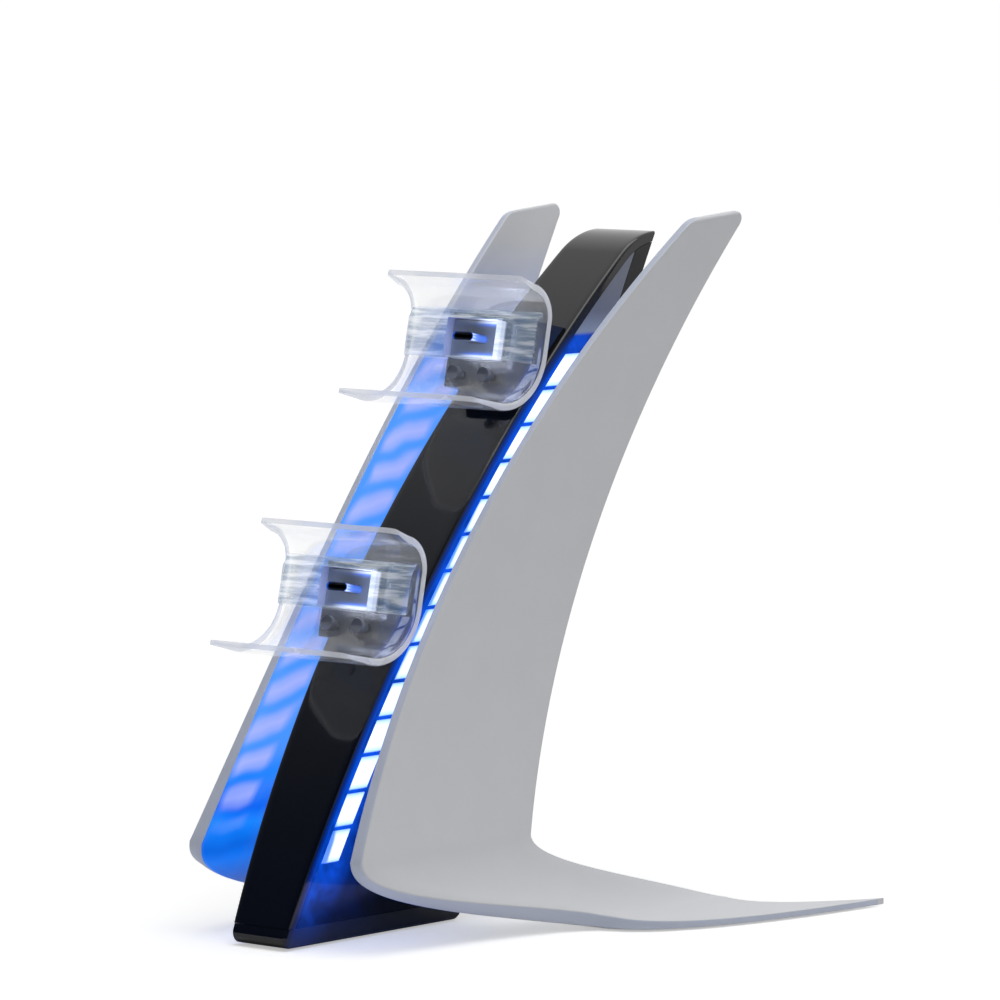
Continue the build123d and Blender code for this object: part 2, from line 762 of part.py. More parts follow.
def make_cradle(anchor):
    """Clear C-shaped cradle: a wall that rolls forward above and below, with a rest round the socket."""
    with BuildPart() as cradle:
        with BuildSketch(cradle_side(anchor)):
            with BuildLine():
                Line((0.0, cradle_flat_bottom), (0.0, cradle_flat_top))
                ThreePointArc(
                    (0.0, cradle_flat_top),
                    around(top_middle, cradle_top_radius, -slant, slant),
                    around(top_middle, cradle_top_radius, 0.0, 1.0),
                )
                Line(around(top_middle, cradle_top_radius, 0.0, 1.0), top_tip)
                Line(top_tip, (top_tip[0], top_tip[1] - lip_tip))
                Line((top_tip[0], top_tip[1] - lip_tip), around(top_middle, top_inner, 0.0, 1.0))
                ThreePointArc(
                    around(top_middle, top_inner, 0.0, 1.0),
                    around(top_middle, top_inner, -slant, slant),
                    (cradle_wall, cradle_flat_top),
                )
                Line((cradle_wall, cradle_flat_top), (cradle_wall, cradle_flat_bottom))
                ThreePointArc(
                    (cradle_wall, cradle_flat_bottom),
                    around(bottom_middle, bottom_inner, -slant, -slant),
                    around(bottom_middle, bottom_inner, 0.0, -1.0),
                )
                Line(around(bottom_middle, bottom_inner, 0.0, -1.0), (bottom_tip[0], bottom_tip[1] + lip_tip))
                Line((bottom_tip[0], bottom_tip[1] + lip_tip), bottom_tip)
                Line(bottom_tip, around(bottom_middle, cradle_bottom_radius, 0.0, -1.0))
                ThreePointArc(
                    around(bottom_middle, cradle_bottom_radius, 0.0, -1.0),
                    around(bottom_middle, cradle_bottom_radius, -slant, -slant),
                    (0.0, cradle_flat_bottom),
                )
            make_face()
        extrude(amount=cradle_half_length, both=True)
        with BuildSketch(cradle_side(anchor)):
            with BuildLine():
                Polyline(
                    (cradle_wall / 2.0, rest_bottom),
                    (rest_front, rest_bottom),
                    (rest_front, rest_top),
                    (cradle_wall + rest_edge, rest_top + rest_shoulder),
                    (cradle_wall / 2.0, rest_top + rest_shoulder),
                    close=True,
                )
            make_face()
        extrude(amount=rest_half_length, both=True)
        with BuildSketch(cradle_face(anchor, 0.0)):
            with Locations(*screw_spots):
                Circle(cradle_boss_diameter / 2.0)
        extrude(amount=cradle_screw_seat)
        with BuildSketch(cradle_face(anchor, cradle_screw_seat)):
            with Locations(*screw_spots):
                Circle(screw_sink / 2.0)
        extrude(amount=cradle_bottom_radius, mode=Mode.SUBTRACT)
        with BuildSketch(cradle_face(anchor, 0.0)):
            with Locations(*screw_spots):
                Circle(screw_hole / 2.0)
        extrude(amount=cradle_screw_seat, both=True, mode=Mode.SUBTRACT)
        with BuildSketch(cradle_face(anchor, 0.0)):
            Rectangle(socket_width, socket_height)
        extrude(amount=rest_front, mode=Mode.SUBTRACT)
    return cradle.part


def make_bracket(anchor):
    """Wedge that fills the space between a cradle's wall and the leaning front of the column."""
    with BuildPart() as bracket:
        with BuildSketch(cradle_face(anchor, 0.0)):
            with Locations((0.0, (bracket_top + bracket_bottom) / 2.0)):
                Rectangle(2.0 * bracket_half_width, bracket_top - bracket_bottom)
        extrude(amount=-bracket_reach)
        add(behind_front, mode=Mode.SUBTRACT)
        with BuildSketch(cradle_face(anchor, 0.0)):
            Rectangle(socket_width, socket_height)
        extrude(amount=plug_back, mode=Mode.SUBTRACT)
        with BuildSketch(cradle_face(anchor, 0.0)):
            with Locations(*screw_spots):
                Circle(screw_hole / 2.0)
        extrude(amount=cradle_screw_seat - cradle_screw_length, mode=Mode.SUBTRACT)
    return bracket.part


def make_plug_body(anchor):
    """Carrier that fills the socket and holds the plug's shell."""
    with BuildPart() as body:
        with BuildSketch(cradle_face(anchor, plug_body_front)):
            Rectangle(socket_width - 2.0 * socket_gap, socket_height - 2.0 * socket_gap)
        extrude(amount=-plug_body_depth)
        with BuildSketch(cradle_face(anchor, plug_body_front)):
            SlotOverall(plug_width + 2.0 * plug_gap, plug_height + 2.0 * plug_gap)
        extrude(amount=-plug_seat, mode=Mode.SUBTRACT)
    return body.part


def make_plug_shell(anchor):
    """Drawn metal shell of the plug, seated in its carrier."""
    with BuildPart() as shell:
        with BuildSketch(cradle_face(anchor, plug_body_front - plug_seat)):
            SlotOverall(plug_width, plug_height)
            SlotOverall(
                plug_width - 2.0 * plug_shell_wall, plug_height - 2.0 * plug_shell_wall, mode=Mode.SUBTRACT
            )
        extrude(amount=plug_seat + plug_reach)
    return shell.part


def make_plug_core(anchor):
    """Contact insert inside the shell, with the plug's mouth."""
    inside = 2.0 * (plug_shell_wall + plug_gap)
    with BuildPart() as core:
        with BuildSketch(cradle_face(anchor, plug_body_front - plug_seat)):
            SlotOverall(plug_width - inside, plug_height - inside)
        extrude(amount=plug_seat + plug_reach - plug_core_sink)
        with BuildSketch(cradle_face(anchor, plug_body_front + plug_reach)):
            SlotOverall(plug_mouth_width, plug_mouth_height)
        extrude(amount=-plug_mouth_depth, mode=Mode.SUBTRACT)
    return core.part


anchors = {
    "upper": (cradle_anchor_y, cradle_anchor_z),
    "lower": (cradle_anchor_y - cradle_step_y, cradle_anchor_z - cradle_step_z),
}
cradle_screw_parts = []
for level, anchor in anchors.items():
    export(make_cradle(anchor), f"{level}_cradle")
    export(make_bracket(anchor), f"{level}_bracket")
    export(make_plug_body(anchor), f"{level}_plug_body")
    export(make_plug_shell(anchor), f"{level}_plug_shell")
    export(make_plug_core(anchor), f"{level}_plug_core")
    for across, up in screw_spots:
        facing = cradle_face(anchor, cradle_screw_seat)
        spot = facing.from_local_coords((across, up, 0.0))
        seat = Plane(origin=spot, x_dir=facing.x_dir, z_dir=facing.z_dir)
        cradle_screw_parts.append(screw(seat, cradle_screw_length))
export(Compound(children=cradle_screw_parts), "cradle_screws")
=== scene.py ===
"""Looks of a charging dock for two game controllers.

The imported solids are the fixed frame. Every size below is in millimetres and degrees, in that
frame: the origin is the middle of the base's underside, +Z is up and the cradles face -Y.
"""
import logging
import math
from dataclasses import dataclass
from enum import Enum
from functools import reduce
from typing import Any

import bpy
import numpy as np
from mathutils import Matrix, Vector


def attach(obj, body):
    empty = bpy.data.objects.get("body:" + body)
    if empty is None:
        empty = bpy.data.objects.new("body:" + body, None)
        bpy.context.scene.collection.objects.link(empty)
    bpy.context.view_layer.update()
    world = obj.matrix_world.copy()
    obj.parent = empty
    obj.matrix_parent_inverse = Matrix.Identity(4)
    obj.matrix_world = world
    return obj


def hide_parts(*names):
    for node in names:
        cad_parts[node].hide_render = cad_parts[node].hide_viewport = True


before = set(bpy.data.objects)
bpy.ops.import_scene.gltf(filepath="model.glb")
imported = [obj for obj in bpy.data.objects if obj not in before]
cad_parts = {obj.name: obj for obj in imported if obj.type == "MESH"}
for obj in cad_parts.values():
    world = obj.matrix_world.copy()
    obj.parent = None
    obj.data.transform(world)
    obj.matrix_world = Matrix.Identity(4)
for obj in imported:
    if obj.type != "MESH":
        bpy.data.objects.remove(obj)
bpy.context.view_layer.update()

MM = 0.001
RIGHT_ANGLE = math.pi / 2.0
CREASE = math.radians(40.0)  # edges that turn by more stay sharp
CORNER = np.linspace(0.0, RIGHT_ANGLE, 7)  # angles of the points round a corner
BAR_SIDES = 32
NOISE_SPAN = (0.3, 0.7)  # where most of a noise's values lie
WHITE_LIGHT = (1.0, 1.0, 1.0, 1.0)
LOG = logging.getLogger("dock")
Array = np.ndarray
Socket = bpy.types.NodeSocket
Tree = bpy.types.NodeTree


class Side(Enum):
    """The two sides of the dock, as the sign of X."""

    LEFT = -1.0
    RIGHT = 1.0


class Level(Enum):
    """The two cradles, one above the other."""

    UPPER = "upper"
    LOWER = "lower"

    @property
    def anchor(self) -> tuple[float, float]:
        """Back of the cradle's wall at the plug's height, as (y, z)."""
        return (60.8, 176.5) if self is Level.UPPER else (2.8, 104.0)


def linear(hex_colour: str) -> tuple[float, float, float, float]:
    """Turns an sRGB hex colour into linear light.

    Args:
        hex_colour: Six hex digits after a hash.
    Returns:
        Red, green, blue and an alpha of one.
    """
    shares = [int(hex_colour[i:i + 2], 16) / 255.0 for i in (1, 3, 5)]
    return (*[c / 12.92 if c <= 0.04045 else ((c + 0.055) / 1.055) ** 2.4 for c in shares], 1.0)


def feed(node: bpy.types.Node, inputs: dict[Any, Any]) -> None:
    """Gives a node's inputs their values or their links.

    Args:
        node: The node.
        inputs: For each input, by name or place, a value or the socket that feeds it.
    """
    for name, value in inputs.items():
        if isinstance(value, Socket):
            node.id_data.links.new(value, node.inputs[name])
        else:
            node.inputs[name].default_value = value


def add_node(tree: Tree, kind: str, inputs: Any = (), **settings: Any) -> Any:
    """Adds a node with its settings, its values and its links.

    Args:
        tree: Node tree to add to.
        kind: Blender's name of the node, after the prefix that all shader nodes share.
        inputs: Values or sockets for its inputs, in order, or by name or place.
        settings: Properties of the node.
    Returns:
        The new node's outputs.
    """
    node = tree.nodes.new("ShaderNode" + kind)
    for name, value in settings.items():
        setattr(node, name, value)
    feed(node, inputs if isinstance(inputs, dict) else dict(enumerate(inputs)))
    return node.outputs


def empty_tree(owner: bpy.types.Material | bpy.types.World) -> Tree:
    """Turns on the nodes of a material or a world and clears them.

    Args:
        owner: The material or the world.
    Returns:
        Its node tree.
    """
    owner.use_nodes = True
    owner.node_tree.nodes.clear()
    return owner.node_tree


def add_object(name: str, data: Any) -> bpy.types.Object:
    """Puts a new object with its data into the scene.

    Args:
        name: Its name.
        data: Its mesh, lamp or camera.
    Returns:
        The object.
    """
    made = bpy.data.objects.new(name, data)
    bpy.context.scene.collection.objects.link(made)
    return made


def facing(place: Any, aim: Any) -> Any:
    """Turn of a lamp or a camera at a place that looks at an aim."""
    return (Vector(aim) - Vector(place)).to_track_quat("-Z", "Y").to_euler()


def blend(start: Any, end: Any, share: Any) -> Any:
    """Value that lies share of the way from start to end."""
    return start + (end - start) * share


def swept(share: Array, haste: float, speed: float) -> Array:
    """Share of a way gone from rest: w^3 (10 - 15w + 6w^2) with w = share^haste, and a last speed.

    Args:
        share: Share of the time, from 0 to 1.
        haste: Power that hurries the start when it is below one.
        speed: Speed left at the end.
    Returns:
        The share of the way.
    """
    way = share ** haste
    at_rest = way ** 3 * (10.0 - 15.0 * way + 6.0 * way ** 2)
    return at_rest + speed * way ** 3 * (-4.0 + 7.0 * way - 3.0 * way ** 2)


# Curves of the dock's own outline

@dataclass(frozen=True)
class Arc:
    """Arc in the side view that leaves the floor at foot_y and leans back."""

    foot_y: float
    radius: float
    lean: float

    @property
    def centre(self) -> tuple[float, float]:
        """Centre of the arc as (y, z)."""
        angle = math.radians(self.lean)
        return self.foot_y + self.radius * math.cos(angle), -self.radius * math.sin(angle)

    def y(self, height: Any) -> Any:
        """How far back the arc lies at a height: its centre less the root of radius^2 - rise^2."""
        centre_y, centre_z = self.centre
        return centre_y - np.sqrt(self.radius ** 2 - (height - centre_z) ** 2)

    def slope(self, height: float) -> float:
        """Run back for each rise at a height."""
        rise = height - self.centre[1]
        return rise / math.sqrt(self.radius ** 2 - rise ** 2)


@dataclass(frozen=True)
class ColumnShape:
    """Outline that the column's covers, panels and glow share."""

    front: Arc = Arc(-42.8, 515.0, 23.5)
    back: Arc = Arc(38.6, 920.0, 16.8)
    cap_radius: float = 30.0
    cap_start: float = 201.5
    waist_height: float = 118.0
    waist_half_width: float = 14.9
    side_bow: float = 1650.0
    floor: float = 6.65

    def half_width(self, height: Array) -> Array:
        """Half the column's width: a long arc that is widest at the waist."""
        return (self.waist_half_width - self.side_bow
                + np.sqrt(self.side_bow ** 2 - (height - self.waist_height) ** 2))

    def front_point(self, station: Array, depth: Array) -> tuple[Array, Array]:
        """Place on the front or the cap, some depth inside it.

        From station 0 to 1 it runs up the front arc, whose radius is less by the depth. From 1 to 2
        it runs round the cap's arc to the point where that circle meets the circle of the back.

        Args:
            station: Place along the path.
            depth: Distance inside the outer skin.
        Returns:
            Y and Z.
        """
        centre_y, centre_z = self.front.centre
        radius = self.front.radius - depth
        low = np.arcsin((self.floor - centre_z) / radius)
        high = math.asin((self.cap_start - centre_z) / self.front.radius)
        reach = self.front.radius - self.cap_radius
        cap_y = centre_y - reach * math.cos(high)
        cap_z = centre_z + reach * math.sin(high)
        bent = self.cap_radius - depth
        back_y, back_z = self.back.centre
        apart = math.hypot(back_y - cap_y, back_z - cap_z)
        towards = math.atan2(back_z - cap_z, cap_y - back_y) + 2.0 * math.pi
        excess = bent ** 2 + apart ** 2 - self.back.radius ** 2
        end = towards - np.arccos(excess / (2.0 * apart * bent))
        angle = blend(low, high, np.clip(station, 0.0, 1.0))
        turn = blend(high, end, np.clip(station - 1.0, 0.0, 1.0))
        on_cap = station > 1.0
        y = np.where(on_cap, cap_y - bent * np.cos(turn), centre_y - radius * np.cos(angle))
        z = np.where(on_cap, cap_z + bent * np.sin(turn), centre_z + radius * np.sin(angle))
        return y, z


COLUMN = ColumnShape()


# Meshes

@dataclass
class Surface:
    """Points and faces of a mesh, in millimetres, with the finish that each face takes."""

    points: Array
    faces: list[tuple[int, ...]]
    finishes: Array

    def joined(self, other: "Surface") -> "Surface":
        """This surface and another as one."""
        shift = len(self.points)
        moved = [tuple(i + shift for i in face) for face in other.faces]
        return Surface(np.concatenate([self.points, other.points]), self.faces + moved,
                       np.concatenate([self.finishes, other.finishes]))

    def mirrored(self) -> "Surface":
        """The surface on the other side of the middle plane, its faces turned to stay outward."""
        return Surface(self.points * (-1.0, 1.0, 1.0), [face[::-1] for face in self.faces],
                       self.finishes)

    def outward(self) -> "Surface":
        """The closed surface with its faces outward: they turn if its enclosed volume is negative."""
        fans = [(f[0], f[i], f[i + 1]) for f in self.faces for i in range(1, len(f) - 1)]
        a, b, c = np.moveaxis(self.points[np.array(fans)], 1, 0)
        if np.einsum("ij,ij->", a, np.cross(b, c)) < 0.0:
            self.faces = [face[::-1] for face in self.faces]
        return self

    def build(self, name: str, finishes: tuple["Finish", ...], node: tuple[str, ...], slot: str) -> None:
        """Makes the object, puts it on the body and lets it stand for its solids.

        Args:
            name: Name of the piece.
            finishes: One finish for each finish index.
            node: Solids that the piece stands for.
            slot: The record's material slot; not used.
        """
        mesh = bpy.data.meshes.new(name)
        mesh.from_pydata(self.points * MM, [], self.faces)
        for finish in finishes:
            mesh.materials.append(finish.material())
        mesh.polygons.foreach_set("material_index", self.finishes.astype(np.int32))
        mesh.shade_smooth()
        mesh.set_sharp_from_angle(angle=CREASE)
        mesh.update()
        piece = add_object(name, mesh)
        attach(piece, "root")
        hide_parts(*node)
        LOG.info("%s: %d faces", name, len(mesh.polygons))


def thick_sheet(outer: Array, inner: Array, kept: Array | None = None) -> Surface:
    """Closed wall between two grids of points, with openings where cells are left out.

    Each kept cell gives a quad on either grid. Each cell edge with a kept cell on one side only
    gives a quad that joins the two grids.

    Args:
        outer: Outer points, rows by columns by three.
        inner: Inner points, matching them.
        kept: Which cells are solid, one fewer each way; all of them if not given.
    Returns:
        The closed surface.
    """
    rows, columns = outer.shape[:2]
    index = np.arange(rows * columns).reshape(rows, columns)
    solid = np.ones((rows - 1, columns - 1), bool) if kept is None else kept
    cells = np.stack([index[:-1, :-1], index[1:, :-1], index[1:, 1:], index[:-1, 1:]], -1)[solid]
    framed = np.pad(solid, 1)
    before, after = framed[:-1, 1:-1], framed[1:, 1:-1]
    left, right = framed[1:-1, :-1], framed[1:-1, 1:]
    walls = [cells, cells[:, ::-1] + rows * columns]
    for first, last, open_edge in (
        (index[:, :-1], index[:, 1:], after & ~before),
        (index[:, 1:], index[:, :-1], before & ~after),
        (index[1:, :], index[:-1, :], right & ~left),
        (index[:-1, :], index[1:, :], left & ~right),
    ):
        a, b = first[open_edge], last[open_edge]
        walls.append(np.stack([a, b, b + rows * columns, a + rows * columns], -1))
    faces = np.concatenate(walls)
    points = np.concatenate([outer.reshape(-1, 3), inner.reshape(-1, 3)])
    return Surface(points, [tuple(f) for f in faces.tolist()], np.zeros(len(faces), int)).outward()


def ring_loft(rings: Array) -> Surface:
    """Closed tube through a row of closed rings, with a flat cap at either end.

    Args:
        rings: Points, rings by points round each ring by three.
    Returns:
        The closed surface.
    """
    count, around = rings.shape[:2]
    index = np.arange(count * around).reshape(count, around)
    after = np.roll(index, -1, axis=1)
    quads = np.stack([index[:-1], after[:-1], after[1:], index[1:]], -1).reshape(-1, 4)
    caps = [tuple(index[0, ::-1].tolist()), tuple(index[-1].tolist())]
    faces = [tuple(f) for f in quads.tolist()] + caps
    return Surface(rings.reshape(-1, 3), faces, np.zeros(len(faces), int)).outward()


def round_bar(start: Array, end: Array, radius: float) -> Surface:
    """Plain round bar between two points: rings of cos and sin square to its line.

    Args:
        start: One end of its centre line.
        end: The other end.
        radius: Its radius.
    Returns:
        The closed surface.
    """
    line = (end - start) / np.linalg.norm(end - start)
    across = np.cross(line, np.roll(line, 1))
    across /= np.linalg.norm(across)
    angle = np.linspace(0.0, 2.0 * math.pi, BAR_SIDES, endpoint=False)[:, None]
    ring = radius * (np.cos(angle) * across + np.sin(angle) * np.cross(line, across))
    return ring_loft(np.stack([start + ring, end + ring]))


# Finishes

@dataclass
class Paint:
    """A material in the making: its nodes, its shader and the place that its patterns follow."""

    tree: Tree
    shader: bpy.types.Node
    place: Socket

    def depth(self) -> Socket:
        """Millimetres behind the column's front: its arc's radius less the distance from its centre."""
        centre_y, centre_z = COLUMN.front.centre
        spoke = add_node(self.tree, "VectorMath", (self.place, (0.0, centre_y * MM, centre_z * MM)),
                         operation="SUBTRACT")[0]
        flat = add_node(self.tree, "VectorMath", (spoke, (0.0, 1.0, 1.0)), operation="MULTIPLY")[0]
        length = add_node(self.tree, "VectorMath", (flat,), operation="LENGTH")["Value"]
        return add_node(self.tree, "Math", (length, -1.0 / MM, COLUMN.front.radius),
                        operation="MULTIPLY_ADD")[0]

    def height(self) -> Socket:
        """Millimetres above the floor."""
        z = add_node(self.tree, "SeparateXYZ", (self.place,))["Z"]
        return add_node(self.tree, "Math", (z, 1.0 / MM), operation="MULTIPLY")[0]

    def off_middle(self) -> Socket:
        """Millimetres from the dock's middle plane, on either side."""
        x = add_node(self.tree, "SeparateXYZ", (self.place,))["X"]
        out = add_node(self.tree, "Math", (x,), operation="ABSOLUTE")[0]
        return add_node(self.tree, "Math", (out, 1.0 / MM), operation="MULTIPLY")[0]

    def mixed(self, way: str, first: Any, second: Any, share: Any = 1.0) -> Socket:
        """Two colours mixed.

        Args:
            way: Blender's name for the way they are mixed.
            first: The first colour.
            second: The second colour.
            share: How much of the mix is taken.
        Returns:
            The colour.
        """
        return add_node(self.tree, "Mix", {0: share, 6: first, 7: second}, data_type="RGBA",
                        blend_type=way)[2]

    def product(self, *colours: Socket) -> Socket:
        """Colours multiplied with one another."""
        return reduce(lambda first, second: self.mixed("MULTIPLY", first, second), colours)

    def ramp(self, value: Socket, *stops: tuple[float, str]) -> Socket:
        """Colour that follows a value through a row of stops.

        Args:
            value: The value.
            stops: Values with their colours, in rising order.
        Returns:
            The colour.
        """
        low, high = stops[0][0], stops[-1][0]
        share = add_node(self.tree, "MapRange", {
            "Value": value, "From Min": low, "From Max": high})["Result"]
        colour = add_node(self.tree, "ValToRGB", {"Fac": share})["Color"]
        elements = colour.node.color_ramp.elements
        while len(elements) < len(stops):
            elements.new(0.5)
        for element, (at, hex_colour) in zip(elements, stops):
            element.position = (at - low) / (high - low)
            element.color = linear(hex_colour)
        return colour


@dataclass(frozen=True)
class Finish:
    """A real material with the surface its making gave it.

    The base class is a plain moulding: a fine grain raises the surface, and slow drifts move its
    colour and its gloss as handling and the mould do. Grain, relief and drift are in millimetres.
    """

    name: str
    colour: str
    roughness: float
    ior: float = 1.5
    metallic: float = 0.0
    grain: float = 0.6
    relief: float = 0.02
    drift: float = 14.0
    wander: float = 0.05
    gloss_wander: float = 0.15

    def material(self) -> bpy.types.Material:
        """The material, made once for each name."""
        known = bpy.data.materials.get(self.name)
        if known:
            return known
        made = bpy.data.materials.new(self.name)
        tree = empty_tree(made)
        surface = add_node(tree, "BsdfPrincipled", {
            "Base Color": linear(self.colour), "IOR": self.ior, "Metallic": self.metallic})[0]
        self.dress(Paint(tree, surface.node, add_node(tree, "TexCoord")["Object"]))
        add_node(tree, "OutputMaterial", {"Surface": surface})
        made.diffuse_color = linear(self.colour)
        return made

    def dress(self, paint: Paint) -> None:
        """Adds the detail of the surface to its shader.

        Args:
            paint: The material in the making.
        """
        self.tone(paint, linear(self.colour))
        self.raise_grain(paint)

    def tone(self, paint: Paint, base: Any) -> None:
        """Lets the colour and the gloss wander slowly over the surface.

        Args:
            paint: The material in the making.
            base: The colour, or the socket that gives it.
        """
        low, high = NOISE_SPAN
        drift = add_node(paint.tree, "TexNoise", {
            "Vector": paint.place, "Scale": 1.0 / (self.drift * MM), "Detail": 3.0})["Fac"]
        gain, gloss = (add_node(paint.tree, "MapRange", {
            "Value": drift, "From Min": low, "From Max": high, "To Min": mean * (1.0 - part),
            "To Max": mean * (1.0 + part)})["Result"]
            for mean, part in ((1.0, self.wander), (self.roughness, self.gloss_wander)))
        plain = base[:3] if isinstance(base, tuple) else base
        tinted = add_node(paint.tree, "VectorMath", {0: plain, "Scale": gain}, operation="SCALE")[0]
        feed(paint.shader, {"Base Color": tinted, "Roughness": gloss})

    def raise_grain(self, paint: Paint) -> None:
        """Raises the grain of the moulding.

        Args:
            paint: The material in the making.
        """
        grain = add_node(paint.tree, "TexNoise", {
            "Vector": paint.place, "Scale": 1.0 / (self.grain * MM), "Detail": 2.0})["Fac"]
        feed(paint.shader, {"Normal": add_node(paint.tree, "Bump", {
            "Height": grain, "Strength": 0.5, "Distance": self.relief * MM})["Normal"]})

    def light_up(self, paint: Paint, colour: Any, strength: float = 1.0) -> None:
        """Lets the surface glow: a lamp's own light on the light bars, painted light on every other part.

        Args:
            paint: The material in the making.
            colour: Colour of the glow, or the socket that gives it.
            strength: Strength of the glow.
        """
        feed(paint.shader, {"Emission Color": colour, "Emission Strength": strength})


@dataclass(frozen=True)
class PolishedBlackPaintedGlow(Finish):
    """Polished black ABS: deep, sharp reflections, and a painted blue glow round its side lips that stands
    in for the light bars' light.
    """

    def dress(self, paint: Paint) -> None:
        """Adds the painted blue glow on the lips.

        Args:
            paint: The material in the making.
        """
        super().dress(paint)
        # Painted blue glow: emission by depth, height and distance from the middle, not light from a lamp.
        across = paint.ramp(paint.depth(), (0.5, "#000000"), (1.0, "#00145A"), (2.0, "#002488"),
                            (3.2, "#0048D2"), (9.0, "#0A50E0"), (18.0, "#02226E"), (40.0, "#000612"))
        along = paint.ramp(paint.height(), (1.5, "#505050"), (10.0, "#909090"), (26.0, "#FFFFFF"),
                           (150.0, "#FFFFFF"), (176.0, "#808080"), (178.0, "#000000"))
        sides = paint.ramp(paint.off_middle(), (9.6, "#000000"), (10.5, "#FFFFFF"))
        self.light_up(paint, paint.product(across, along, sides))


@dataclass(frozen=True)
class SmokedPanel(Finish):
    """Smoked acrylic, polished: grey and see-through above, with a painted grey glow there that stands in
    for reflections, and a painted blue glow beside the bars that stands in for their light.
    """

    shine: float = 0.2
    # Size of the painted swirls in the blue glow.
    glow_swirl_size: float = 8.0

    def dress(self, paint: Paint) -> None:
        """Adds painted blue light where the panel carries light along from its windows, with painted swirls
        in it, and a painted grey glow above.

        Args:
            paint: The material in the making.
        """
        height = paint.height()
        self.tone(paint, paint.ramp(height, (176.5, "#05070C"), (178.0, "#5A5E6C"), (215.0, "#6A6C70")))
        self.raise_grain(paint)
        across = paint.ramp(paint.depth(), (3.0, "#0046C8"), (4.6, "#0A58F0"), (10.0, "#0A50E0"),
                            (18.0, "#02226E"), (34.0, "#000C2E"), (60.0, "#000206"))
        along = paint.ramp(height, (6.0, "#808080"), (12.0, "#B0B0B0"), (22.0, "#FFFFFF"),
                           (165.0, "#FFFFFF"), (177.0, "#D0D0D0"), (178.0, "#000000"))
        # Painted grey glow above the bars, standing in for reflections.
        painted_grey_glow = paint.ramp(height, (177.0, "#000000"), (178.0, "#646E80"), (184.0, "#464A56"),
                          (215.0, "#3C3E44"))
        # Painted swirls that make the blue glow uneven.
        swirl = add_node(paint.tree, "TexNoise", {
            "Vector": paint.place, "Scale": 1.0 / (self.glow_swirl_size * MM), "Detail": 2.0,
            "Distortion": 0.5})["Fac"]
        glow_swirls = paint.ramp(swirl, (0.34, "#BCBCBC"), (0.56, "#FFFFFF"))
        self.light_up(paint, paint.mixed("ADD", paint.product(across, along, glow_swirls), painted_grey_glow))
        feed(paint.shader, {"Specular IOR Level": self.shine})


@dataclass(frozen=True)
class LitDiffuser(Finish):
    """Milky acrylic over blue-white lamps: burnt-out cells, bluer near the ribs and the front."""

    glow: float = 1.25
    pitch: float = 10.55
    bottom: float = 24.4
    edge_depth: float = 4.4
    edge_swell: float = 1.3
    swell_length: float = 122.0
    swell_height: float = 103.0
    foot_span: tuple[float, float] = (30.0, 43.0)
    foot_depth: float = 3.2

    def lamp_phase(self, paint: Paint, height: Socket) -> Socket:
        """Distance from the nearest rib, which is half the pitch at a lamp.

        Args:
            paint: The material in the making.
            height: Height in millimetres.
        Returns:
            The distance in millimetres.
        """
        above = add_node(paint.tree, "Math", (height, self.bottom), operation="SUBTRACT")[0]
        return add_node(paint.tree, "Math", (above, self.pitch / 2.0), operation="PINGPONG")[0]

    def dress(self, paint: Paint) -> None:
        """Adds one hot spot for each lamp, behind a front edge that swings to and fro with height.

        Args:
            paint: The material in the making.
        """
        super().dress(paint)
        tree, height = paint.tree, paint.height()
        hot = paint.ramp(self.lamp_phase(paint, height), (0.0, "#3C6CFF"), (0.9, "#9CBCFF"),
                         (2.0, "#D8E4FF"), (5.2, "#E8F0FF"))
        pace = 2.0 * math.pi / self.swell_length
        turn = add_node(tree, "Math", (height, pace, -pace * self.swell_height),
                        operation="MULTIPLY_ADD")[0]
        wave = add_node(tree, "Math", (turn,), operation="COSINE")[0]
        swell = add_node(tree, "Math", (wave, -self.edge_swell, -self.edge_depth),
                         operation="MULTIPLY_ADD")[0]
        foot = add_node(tree, "MapRange", {
            "Value": height, "From Min": self.foot_span[0], "From Max": self.foot_span[1],
            "To Min": -self.foot_depth, "To Max": 0.0}, interpolation_type="SMOOTHSTEP")["Result"]
        edge = add_node(tree, "Math", (swell, foot), operation="ADD")[0]
        inside = add_node(tree, "Math", (paint.depth(), edge), operation="ADD")[0]
        pool = paint.ramp(inside, (-0.5, "#000000"), (0.5, "#FFFFFF"))
        self.light_up(paint, paint.mixed("MIX", linear("#0A58F0"), hot, pool), self.glow)


